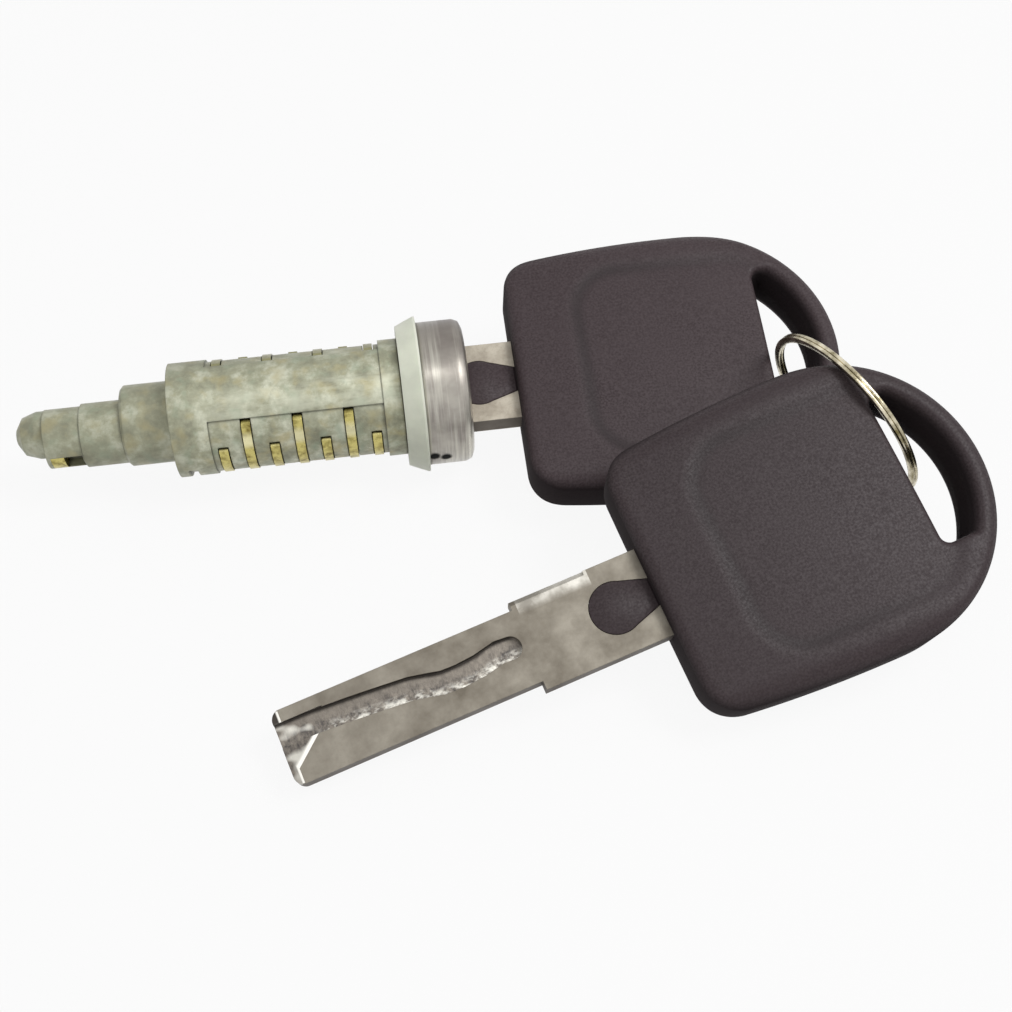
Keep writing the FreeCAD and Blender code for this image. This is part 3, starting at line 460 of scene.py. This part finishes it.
def steel():
    """Satin steel of the pressed cup, with turning marks partly painted as highlight streaks,
    painted shade towards the far side, and its two small staking marks painted black for the
    shade in their dents.
    """
    m = Nodes("satin_steel", LOCK_PLACE)
    m.set(Metallic=0.75)
    cloud = m.noise(260, 4, 0.55)
    grain = m.noise(3200, 2, 0.5)
    turning = m.noise(1.0, 3, 0.6, m.scaled(1100, 45, 45))
    x, y, z = m.axes()

    spots = []
    for at_x, at_z in STAKES:
        along = m.times(m.math("SUBTRACT", x, at_x), 0.8)
        up = m.times(m.math("SUBTRACT", z, at_z), 0.7)
        spots.append(m.grey(m.length(along, up), 1.0, 0.0, *STAKE_EDGE))
    marks = m.times(m.math("MAXIMUM", *spots), m.math("LESS_THAN", y, STAKE_SIDE))

    satin = m.ramp(cloud, [(0.3, STEEL_DARK), (0.7, STEEL_PALE)])
    # Turning marks, partly painted as bright highlight streaks
    satin = m.blend(satin, STEEL_SHINE, m.grey(turning, 0.0, 0.8, 0.46, 0.66))
    # Painted shade towards the far side
    satin = m.blend(satin, STEEL_SHADE, m.grey(y, 0.0, 0.75, -4.0, 5.0))
    # The staking marks' dents are painted black for their shade
    m.colour(m.blend(satin, STAKE_SHADE_BLACK, marks))
    m.rough(m.mix(m.grey(turning, 0.40, 0.26), 0.9, marks))
    m.bump((marks, 0.8, -0.2 * MM), (turning, 0.3, 0.012 * MM), (grain, 0.25, 0.008 * MM),
           normal=m.soft_edges(0.7))
    return m.material


def nickel(name, key_place, tone):
    """Nickel silver of a blade: warm grey, lightly scratched, with a torn milled groove, a
    painted highlight band, painted glints, and painted shade on the walls and along the track.
    """
    m = Nodes(name, key_place)
    m.set(Metallic=0.85)
    cloud = m.noise(240, 5, 0.6)
    grain = m.noise(2400, 3, 0.6)
    torn = m.noise(1.0, 5, 0.75, m.scaled(1500, 900, 900))
    fleck = m.noise(1.0, 3, 0.6, m.scaled(900, 1500, 900))
    facet = m.noise(1.0, 1, 0.4, m.scaled(300, 520, 300))
    x, y, z = m.axes()
    inside = m.math("LESS_THAN", m.math("ABSOLUTE", y), BLADE_HALF - 0.12)

    # Faces, with a painted highlight band on the wide part and painted shade on the walls
    plain = m.ramp(cloud, [(0.3, toned(NICKEL_DARK, tone)), (0.68, toned(NICKEL_PALE, tone))])
    plain = m.blend(plain, NICKEL_DARK, m.grey(grain, 0.0, 0.35, 0.5, 0.75))
    shine = m.times(m.grey(y, 0.0, 0.7, *SHINE_WIDTH), m.grey(cloud, 0.3, 1.0, 0.4, 0.6),
                    m.math("COMPARE", x, SHINE_AT, SHINE_REACH))
    plain = m.blend(plain, SHINE_COLOUR, shine)
    # Painted shade on the walls below the faces
    wall = m.times(m.grey(m.math("ABSOLUTE", z), 0.8, 0.0, BLADE_FACE - 0.14, BLADE_FACE - 0.05),
                   m.math("LESS_THAN", y, BLADE_HALF + 0.05))
    plain = m.blend(plain, BLADE_WALL_SHADE, wall)

    # Floor of the track and of the slope at the tip: below the face, inside the edges
    cut = m.times(m.grey(z, 1.0, 0.0, BLADE_FACE - 0.12, BLADE_FACE - 0.03),
                  m.math("GREATER_THAN", z, 0.0), inside, m.math("LESS_THAN", x, NARROW_END))
    across = m.math("SUBTRACT", y, m.curve(x, TRACK, -0.5, 2.0))
    # Painted glints: bright flecks on the burr along the track's low edge, and bright patches
    # near the tip
    fleck_glints = m.times(m.grey(across, 1.0, 0.0, *TRACK_LOW_EDGE),
                     m.grey(fleck, 0.0, 0.9, 0.44, 0.62), m.grey(x, 0.0, 1.0, *FLECKS_START))
    patch_glints = m.times(m.grey(facet, 0.0, 0.6, 0.54, 0.66), m.grey(x, 1.0, 0.0, *TIP_END))
    milled = m.ramp(torn, [(0.35, GROOVE_DARK), (0.6, GROOVE_PALE)])
    milled = m.blend(milled, GROOVE_PALE, m.grey(across, 0.0, 0.7, -0.3, 0.7))
    milled = m.blend(milled, FLECK_GLINT, m.math("MAXIMUM", fleck_glints, patch_glints))
    milled = m.blend(milled, GROOVE_SHADOW, m.grey(across, 0.0, 0.8, *TRACK_HIGH_EDGE))

    # Painted glint along the edge of the slope at the tip
    ridge = m.times(m.grey(z, 0.0, 1.0, *RIDGE_HEIGHT),
                    m.math("LESS_THAN", z, BLADE_FACE - 0.004),
                    m.grey(x, 1.0, 0.0, *RIDGE_END), inside)
    m.colour(m.blend(m.blend(plain, milled, cut), RIDGE_GLINT, ridge))
    m.rough(m.mix(m.grey(cloud, 0.62, 0.50), m.grey(torn, 0.6, 0.35), cut))
    m.bump((torn, m.times(cut, 0.7), 0.06 * MM), (grain, 0.25, 0.01 * MM),
           normal=m.soft_edges(0.08))
    return m.material


def panel_shade(m):
    """Painted shade: a darker line at the foot of the thumb panel's border, strongest towards the
    blade.
    """
    x, y, z = m.axes()
    off = []
    for axis, low, high in zip((x, y), PANEL_LOW, PANEL_HIGH):
        straight = (high - low) / 2 - PANEL_CORNER
        past = m.math("SUBTRACT", m.away(axis, (low + high) / 2), straight)
        off.append(m.math("MAXIMUM", past, 0.0))
    from_line = m.away(m.length(*off), PANEL_CORNER - 0.5)
    shade = m.grey(from_line, 0.6, 0.0, 0.0, 1.5, smooth=True)
    return m.times(shade, m.grey(x, 1.0, 0.25, 60.0, 80.0))


def moulding(name, key_place, tone):
    """Fine spark-eroded grain on the dark moulded heads, with painted shade along the panel's
    border and on the side walls.
    """
    m = Nodes(name, key_place)
    m.set(Specular_IOR_Level=0.22)
    cloud = m.noise(90, 3, 0.5)
    grain = m.noise(3600, 2, 0.55)
    coarse = m.noise(1500, 2, 0.5)
    x, y, z = m.axes()
    # Painted shade on the side walls
    wall = m.times(m.grey(m.math("ABSOLUTE", z), 1.0, 0.0, 2.6, 3.6),
                   m.math("GREATER_THAN", x, HEAD_START - 0.2))
    dark, pale = toned(MOULDING_DARK, tone), toned(MOULDING_PALE, tone)
    base = m.ramp(grain, [(0.35, dark), (0.68, pale)])
    base = m.blend(base, pale, m.grey(cloud, 0.0, 0.35))
    base = m.blend(base, PANEL_SHADE_COLOUR, panel_shade(m))
    m.colour(m.blend(base, HEAD_WALL_SHADE, m.times(wall, 0.8)))
    m.rough(m.mix(m.grey(grain, 0.58, 0.42), 1.0, wall))
    m.bump((coarse, 0.25, 0.02 * MM), (grain, 0.4, 0.015 * MM))
    return m.material


def seal():
    """Milky flexible plastic of the lip ring."""
    m = Nodes("translucent_seal")
    m.set(IOR=1.5, Roughness=0.5, Subsurface_Weight=0.5, Subsurface_Scale=1.0,
          Subsurface_Radius=(0.8 * MM, 0.9 * MM, 0.8 * MM))
    cloud = m.noise(350, 3)
    m.colour(m.ramp(cloud, [(0.35, SEAL_COLOUR), (0.7, toned(SEAL_COLOUR, 1.12))]))
    m.bump((cloud, 0.1, 0.03 * MM))
    return m.material


def ring_wire():
    """Worn plating of the split ring."""
    m = Nodes("plated_wire")
    m.set(Metallic=1.0)
    wear = m.noise(420, 4, 0.6)
    m.colour(m.ramp(wear, [(0.35, RING_DARK), (0.6, RING_PALE)]))
    m.rough(m.grey(wear, 0.34, 0.18))
    m.bump((m.noise(1900, 2), 0.15, 0.01 * MM))
    return m.material


def spring_wire():
    """Plain wire of the springs inside the plug."""
    m = Nodes("spring_wire")
    m.set(Metallic=1.0)
    wear = m.noise(2000, 2)
    m.colour(m.ramp(wear, [(0.3, SPRING_DARK), (0.7, SPRING_PALE)]))
    m.rough(m.grey(wear, 0.4, 0.25))
    return m.material


def dress(materials):
    """Give each CAD node its material."""
    for name, node in frame["nodes"].items():
        kind = next(kind for kind in materials if name.startswith(kind))
        node.data.materials.clear()
        node.data.materials.append(materials[kind])


def piece(name, points, faces, place, material, body, node):
    """Piece given in millimetres in its own frame, which stands for a CAD node."""
    mesh = bpy.data.meshes.new(name)
    mesh.from_pydata([place @ (Vector(point) * MM) for point in points], [], faces)
    mesh.polygons.foreach_set("use_smooth", [True] * len(mesh.polygons))
    mesh.materials.append(material)
    mesh.validate()
    thing = bpy.data.objects.new(name, mesh)
    bpy.context.collection.objects.link(thing)
    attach(thing, body)
    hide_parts(node)


# Moulded heads

def smooth_step(value, low, high):
    """0 below low, 1 above high, and smooth between them."""
    share = min(1.0, max(0.0, (value - low) / (high - low)))
    return share * share * (3 - 2 * share)


def arc(centre, radius, start, end, steps):
    """Points on an arc with their outward directions: (x, y, out_x, out_y)."""
    spots = []
    for step in range(steps):
        angle = math.radians(start + (end - start) * step / steps)
        out_x, out_y = math.cos(angle), math.sin(angle)
        spots.append((centre[0] + radius * out_x, centre[1] + radius * out_y, out_x, out_y))
    return spots


def line(start, end, out, steps):
    """Points on a straight side with its outward direction."""
    spots = []
    for step in range(steps):
        spots.append((start[0] + (end[0] - start[0]) * step / steps,
                      start[1] + (end[1] - start[1]) * step / steps, *out))
    return spots


def head_edge():
    """Outline of a head, clockwise from the lower corner of its straight side."""
    corner_x = HEAD_START + HEAD_CORNER
    low = HEAD_HALF - HEAD_SIDE_ARC
    inner = HEAD_SIDE_ARC - HEAD_CORNER
    corner_y = low + math.sqrt(inner ** 2 - (HEAD_WIDE_AT - corner_x) ** 2)
    meet = math.degrees(math.atan2(corner_y - low, corner_x - HEAD_WIDE_AT))
    edge = line((HEAD_START, -corner_y), (HEAD_START, corner_y), (-1.0, 0.0), 20)
    edge += arc((corner_x, corner_y), HEAD_CORNER, 180, meet, 16)
    edge += arc((HEAD_WIDE_AT, low), HEAD_SIDE_ARC, meet, 90, 18)
    edge += arc((HEAD_WIDE_AT, 0), HEAD_HALF, 90, -90, 84)
    edge += arc((HEAD_WIDE_AT, -low), HEAD_SIDE_ARC, -90, -meet, 18)
    edge += arc((corner_x, -corner_y), HEAD_CORNER, -meet, -180, 16)
    return edge


def loop_edge():
    """Outline of the ring loop, clockwise, with directions out of the hole."""
    reach = LOOP_ARC - LOOP_ROUND
    left = LOOP_START + LOOP_ROUND
    top = math.sqrt(reach ** 2 - (left - HEAD_WIDE_AT) ** 2)
    low = -LOOP_LOW + LOOP_ROUND
    right = HEAD_WIDE_AT + math.sqrt(reach ** 2 - low ** 2)
    upper = math.degrees(math.atan2(top, left - HEAD_WIDE_AT))
    lower = math.degrees(math.atan2(low, right - HEAD_WIDE_AT))
    edge = line((LOOP_START, low), (LOOP_START, top), (-1.0, 0.0), 26)
    edge += arc((left, top), LOOP_ROUND, 180, upper, 10)
    edge += arc((HEAD_WIDE_AT, 0), LOOP_ARC, upper, lower, 40)
    edge += arc((right, low), LOOP_ROUND, lower, -90, 8)
    edge += line((right, -LOOP_LOW), (left, -LOOP_LOW), (0.0, -1.0), 5)
    edge += arc((left, low), LOOP_ROUND, -90, -180, 8)
    return edge


def panel_distance(x, y):
    """Distance outside the thumb panel's border; negative inside it."""
    half_x = (PANEL_HIGH[0] - PANEL_LOW[0]) / 2 - PANEL_CORNER
    half_y = (PANEL_HIGH[1] - PANEL_LOW[1]) / 2 - PANEL_CORNER
    off_x = abs(x - (PANEL_HIGH[0] + PANEL_LOW[0]) / 2) - half_x
    off_y = abs(y - (PANEL_HIGH[1] + PANEL_LOW[1]) / 2) - half_y
    outside = math.hypot(max(off_x, 0), max(off_y, 0))
    return outside + min(max(off_x, off_y), 0) - PANEL_CORNER


def head_height(x, y):
    """Height of a head's face: a slight crown with the sunk thumb panel."""
    crown = HEAD_RISE - ((x - CROWN_AT) ** 2 + y ** 2) / (2 * CROWN_ARC)
    return crown - PANEL_DEPTH * (1 - smooth_step(panel_distance(x, y), *PANEL_BORDER))


def between(first, second, share):
    """Pair of values, a share of the way from one pair to another."""
    return tuple(a + (b - a) * share for a, b in zip(first, second))


def rim_softness(x, out_x):
    """Width and drop of the rounded rim, wide along the sides and tight at the blade."""
    side = between(RIM_SIDE, RIM_BLADE, smooth_step(-out_x, 0.15, 0.9))
    return between(side, RIM_BOW, smooth_step(x, 72, 80))


def plain_softness(x, out_x):
    """The loop's wall turns sharply all the way round on the under side."""
    return LOOP_SHARP


def under_bow(out_x):
    """1 where the loop's wall faces the bow, 0 where it faces the panel."""
    return smooth_step(out_x, 0.2, 0.8)


def loop_softness(x, out_x):
    """The loop's wall flares under the bow and turns sharply at the panel."""
    return tuple(sharp + flare * under_bow(out_x) for sharp, flare in zip(LOOP_SHARP, LOOP_FLARE))


def rounded_rings(edge, softness, inward, steps=6):
    """Rings of points from the wall up the rounded edge to the face."""
    rings = []
    for step in range(steps + 1):
        angle = math.pi / 2 * step / steps
        ring = []
        for x, y, out_x, out_y in edge:
            width, drop = softness(x, out_x)
            away = inward * width * (1 - math.cos(angle))
            spot_x, spot_y = x + out_x * away, y + out_y * away
            height = head_height(spot_x, spot_y) - drop * (1 - math.sin(angle))
            ring.append((spot_x, spot_y, height))
        rings.append(ring)
    return rings


def inside_of(points, ring):
    """Which points lie inside a closed ring of (x, y, ...) points."""
    px, py = points[:, 0][:, None], points[:, 1][:, None]
    ring = np.array([spot[:2] for spot in ring])
    ax, ay = ring[:, 0], ring[:, 1]
    bx, by = np.roll(ax, -1), np.roll(ay, -1)
    spans = (ay > py) != (by > py)
    rise = np.where(by == ay, 1e-12, by - ay)
    crosses = px < (bx - ax) * (py - ay) / rise + ax
    return (spans & crosses).sum(axis=1) % 2 == 1


def gap_to(points, ring):
    """Distance from each point to the nearest point of a ring."""
    ring = np.array([spot[:2] for spot in ring])
    return np.sqrt(((points[:, None, :] - ring[None, :, :]) ** 2).sum(axis=2)).min(axis=1)


def face_grid(rim, hole):
    """Points over a face, closer together along the panel's border."""
    spots = []
    for row in range(int(FACE_WIDE / FACE_STEP)):
        for column in range(int(FACE_LONG / FACE_STEP)):
            x = HEAD_START + FACE_STEP * (column + 0.5 * (row % 2))
            y = FACE_STEP * row - FACE_WIDE / 2
            fine = abs(panel_distance(x, y)) < FINE_REACH
            if fine or (row % 2 == 0 and column % 2 == 0):
                spots.append((x, y))
    spots = np.array(spots)
    spots = spots[inside_of(spots, rim) & ~inside_of(spots, hole)]
    return spots[(gap_to(spots, rim) > RIM_GAP) & (gap_to(spots, hole) > LOOP_GAP)]


def face_mesh(rim, lip):
    """Triangles of a face between its rim and the loop's lip, and which points lie on them."""
    flat = [Vector(spot[:2]) for spot in rim + lip]
    count = len(rim)
    joins = [(i, (i + 1) % count) for i in range(count)]
    joins += [(count + i, count + (i + 1) % len(lip)) for i in range(len(lip))]
    flat += [Vector(spot) for spot in face_grid(rim, lip)]
    spots, _, faces, sources, _, _ = delaunay_2d_cdt(flat, joins, [], 0, 1e-6)
    centres = np.array([[sum(spots[i][axis] for i in face) / 3 for axis in (0, 1)]
                        for face in faces])
    keep = inside_of(centres, rim) & ~inside_of(centres, lip)
    faces = [face for face, wanted in zip(faces, keep) if wanted]
    found = {source: index for index, origins in enumerate(sources) for source in origins}
    return spots, faces, found


def head_shape():
    """Points and faces of a head with its loop, in the key's own frame."""
    points, polygons, middles = [], [], []
    for edge, ridge in ((head_edge(), 0.0), (loop_edge(), LOOP_RIDGE)):
        # Parting line round the wall, which stands out a little under the bow
        middles.append(list(range(len(points), len(points) + len(edge))))
        for x, y, out_x, out_y in edge:
            depth = ridge * under_bow(out_x)
            points.append((x - out_x * depth, y - out_y * depth, 0.0))
    for side, flare in ((1, loop_softness), (-1, plain_softness)):
        outer = rounded_rings(head_edge(), rim_softness, -1)
        hole = rounded_rings(loop_edge(), flare, 1)
        spots, faces, found = face_mesh(outer[-1], hole[-1])
        start = len(points)
        points += [(x, y, side * head_height(x, y)) for x, y in spots]
        for face in faces:
            corners = [start + i for i in face]
            polygons.append(corners if side == 1 else corners[::-1])
        walls = ((outer, 0, 1, middles[0]), (hole, len(outer[0]), -1, middles[1]))
        for rings, offset, inward, middle in walls:
            size = len(rings[0])
            last = [start + found[offset + i] for i in range(size)]
            for ring in reversed(rings[:-1]):
                base = len(points)
                points += [(x, y, side * z) for x, y, z in ring]
                here = list(range(base, base + size))
                polygons += band(here, last, side * inward)
                last = here
            polygons += band(middle, last, side * inward)
    return points, polygons


def band(low, high, turn):
    """Quads between two closed rings of point numbers."""
    size = len(low)
    quads = [(low[i], high[i], high[(i + 1) % size], low[(i + 1) % size]) for i in range(size)]
    return quads if turn == 1 else [quad[::-1] for quad in quads]


def lug_shape():
    """Teardrop lug that fills the eye of the blade and narrows to the head."""
    start = math.degrees(math.acos(LUG_OPEN))
    steps = 40
    outline = []
    for step in range(steps + 1):
        angle = math.radians(start + (360 - 2 * start) * step / steps)
        outline.append((math.cos(angle) * LUG_HALF, math.sin(angle) * LUG_HALF))
    neck = HEAD_START - LUG_AT
    root = HEAD_START + LUG_ROOT - LUG_AT
    outline += [(neck, -LUG_NECK), (root, -LUG_NECK), (root, LUG_NECK), (neck, LUG_NECK)]
    levels = ((LUG_SHRINK, LUG_TOP), (1.0, LUG_TOP - LUG_EDGE),
              (1.0, LUG_EDGE - LUG_TOP), (LUG_SHRINK, -LUG_TOP))
    points = [(LUG_AT + x * shrink, y * shrink, height)
              for shrink, height in levels for x, y in outline]
    size = len(outline)
    faces = [list(range(size)), list(range(4 * size - 1, 3 * size - 1, -1))]
    for level in range(3):
        low = list(range(level * size, (level + 1) * size))
        high = list(range((level + 1) * size, (level + 2) * size))
        faces += band(low, high, 1)
    return points, faces


def make_heads(looks):
    """Both heads, each with its lug in one mesh."""
    points, faces = head_shape()
    lug_points, lug_faces = lug_shape()
    shift = len(points)
    points += lug_points
    faces += [[shift + i for i in face] for face in lug_faces]
    for number, place, look in zip((1, 2), KEY_PLACES, looks):
        piece(f"moulded_head_{number}", points, faces, place, look,
              f"key_{number}", f"key_{number}_head")


# Split ring

def make_ring(look):
    """Two coils of flat wire that lie on each other, with a kink where they cross."""
    half_wide, half_high = RING_SECTION / 2, RING_HEIGHT / 4 - COIL_GAP
    flat, upright = half_wide - RING_EDGE, half_high - RING_EDGE
    section = [(half_wide, upright), (flat, half_high), (-flat, half_high), (-half_wide, upright),
               (-half_wide, -upright), (-flat, -half_high), (flat, -half_high),
               (half_wide, -upright)]
    start, end = RING_ENDS
    points, faces = [], []
    for step in range(RING_STEPS + 1):
        turn = start + (end - start) * step / RING_STEPS
        lift = (smooth_step(turn, *RING_CROSSING) - 0.5) * RING_HEIGHT / 2
        angle = math.radians(turn + RING_START)
        for wide, high in section:
            reach = RING_RADIUS + wide
            points.append((math.cos(angle) * reach, math.sin(angle) * reach, lift + high))
    size = len(section)
    for step in range(RING_STEPS):
        here = [step * size + i for i in range(size)]
        after = [(step + 1) * size + i for i in range(size)]
        faces += band(here, after, 1)
    faces.append(list(range(size)))
    faces.append([RING_STEPS * size + i for i in reversed(range(size))])
    piece("split_ring", points, faces, RING_PLACE, look, "key_ring", "key_ring")


# Studio

def floor():
    """Ground under the object's lowest point."""
    mesh = bpy.data.meshes.new("studio_floor")
    half = FLOOR_SIZE / 2
    corners = [(-half, -half, 0), (half, -half, 0), (half, half, 0), (-half, half, 0)]
    mesh.from_pydata(corners, [], [(0, 1, 2, 3)])
    plane = bpy.data.objects.new("studio_floor", mesh)
    plane.location.z = FLOOR_HEIGHT
    bpy.context.collection.objects.link(plane)
    mesh.materials.append(white_backdrop())


def seen_directly(tree):
    """1 for rays from the camera, a reflection or a clear piece, 0 for light that bounces."""
    path = tree.nodes.new("ShaderNodeLightPath")
    seen = path.outputs["Is Camera Ray"]
    for kind in ("Is Glossy Ray", "Is Transmission Ray"):
        either = tree.nodes.new("ShaderNodeMath")
        either.operation = "MAXIMUM"
        tree.links.new(seen, either.inputs[0])
        tree.links.new(path.outputs[kind], either.inputs[1])
        seen = either.outputs[0]
    return seen


def white_backdrop():
    """Paper that bounces light and takes the shadow, and mostly lets the white surround show."""
    material = bpy.data.materials.new("white_paper")
    material.use_nodes = True
    tree = material.node_tree
    tree.nodes.remove(tree.nodes["Principled BSDF"])
    output = tree.nodes["Material Output"]
    paper = tree.nodes.new("ShaderNodeBsdfDiffuse")
    paper.inputs["Color"].default_value = (*PAPER_COLOUR, 1.0)
    clear = tree.nodes.new("ShaderNodeBsdfTransparent")
    share = tree.nodes.new("ShaderNodeMath")
    share.operation = "MULTIPLY"
    share.inputs[1].default_value = FLOOR_CLEAR
    tree.links.new(seen_directly(tree), share.inputs[0])
    mix = tree.nodes.new("ShaderNodeMixShader")
    tree.links.new(share.outputs[0], mix.inputs["Fac"])
    tree.links.new(paper.outputs[0], mix.inputs[1])
    tree.links.new(clear.outputs[0], mix.inputs[2])
    tree.links.new(mix.outputs[0], output.inputs["Surface"])
    return material


def world():
    """Soft surround: white where it is seen, and as light brightest overhead."""
    sky = bpy.data.worlds.new("studio")
    bpy.context.scene.world = sky
    sky.use_nodes = True
    tree = sky.node_tree
    background = tree.nodes["Background"]
    background.inputs["Color"].default_value = (1.0, 1.0, 1.0, 1.0)
    level = tree.nodes.new("ShaderNodeMapRange")
    place = tree.nodes.new("ShaderNodeTexCoord")
    height = tree.nodes.new("ShaderNodeSeparateXYZ")
    tree.links.new(place.outputs["Generated"], height.inputs[0])
    glow = tree.nodes.new("ShaderNodeMapRange")
    glow.inputs["To Min"].default_value, glow.inputs["To Max"].default_value = SKY_LIGHT
    tree.links.new(height.outputs["Z"], glow.inputs["Value"])
    tree.links.new(glow.outputs["Result"], level.inputs["To Min"])
    level.inputs["To Max"].default_value = 1.0
    tree.links.new(seen_directly(tree), level.inputs["Value"])
    tree.links.new(level.outputs["Result"], background.inputs["Strength"])


def area_light(name, place, target, size, power):
    """Rectangular lamp that points at a target, in metres and watts."""
    data = bpy.data.lights.new(name, "AREA")
    data.shape = "RECTANGLE"
    data.size, data.size_y = size
    data.energy = power
    lamp = bpy.data.objects.new(name, data)
    lamp.location = place
    lamp.rotation_euler = (Vector(target) - Vector(place)).to_track_quat("-Z", "Y").to_euler()
    bpy.context.collection.objects.link(lamp)


def lights():
    """Main light from the right, a strip for the cup's highlight and a weak fill."""
    area_light("key_light", (0.32, -0.08, 0.46), (0.05, -0.02, 0.0), (0.20, 0.20), 1.5)
    area_light("top_strip", (0.045, -0.10, 0.50), (0.03, 0.0, 0.0), (0.03, 0.08), 0.11)
    area_light("fill_light", (-0.30, -0.45, 0.30), (0.03, 0.0, 0.0), (0.35, 0.35), 0.15)


def camera():
    """Camera at the place where the photograph's was."""
    data = bpy.data.cameras.new("photo_camera")
    data.lens = CAMERA_LENS
    data.sensor_width = SENSOR_WIDTH
    data.clip_start = 0.005
    back = -CAMERA_FORWARD.normalized()
    up = (CAMERA_UP - back * CAMERA_UP.dot(back)).normalized()
    right = up.cross(back)
    view = Matrix((right, up, back)).transposed().to_4x4()
    view.translation = CAMERA_PLACE
    eye = bpy.data.objects.new("photo_camera", data)
    eye.matrix_world = view
    bpy.context.collection.objects.link(eye)
    bpy.context.scene.camera = eye


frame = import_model()
bpy.context.scene.view_settings.view_transform = "Standard"

brass_look = brass()
head_looks = [moulding(f"grained_moulding_{number}", place, tone)
              for number, place, tone in zip((1, 2), KEY_PLACES, HEAD_TONES)]
blade_looks = [nickel(f"nickel_silver_{number}", place, tone)
               for number, place, tone in zip((1, 2), KEY_PLACES, BLADE_TONES)]
wire_look = ring_wire()
materials = {
    "wafer_spring": spring_wire(),
    "wafer": brass_look,
    "tail_insert": brass_look,
    "plug": zinc(),
    "face_cap": steel(),
    "lip_ring": seal(),
    "key_ring": wire_look,
    "key_1_blade": blade_looks[0],
    "key_2_blade": blade_looks[1],
    "key_1_head": head_looks[0],
    "key_2_head": head_looks[1],
}
dress(materials)
make_heads(head_looks)
make_ring(wire_look)
floor()
world()
lights()
camera()
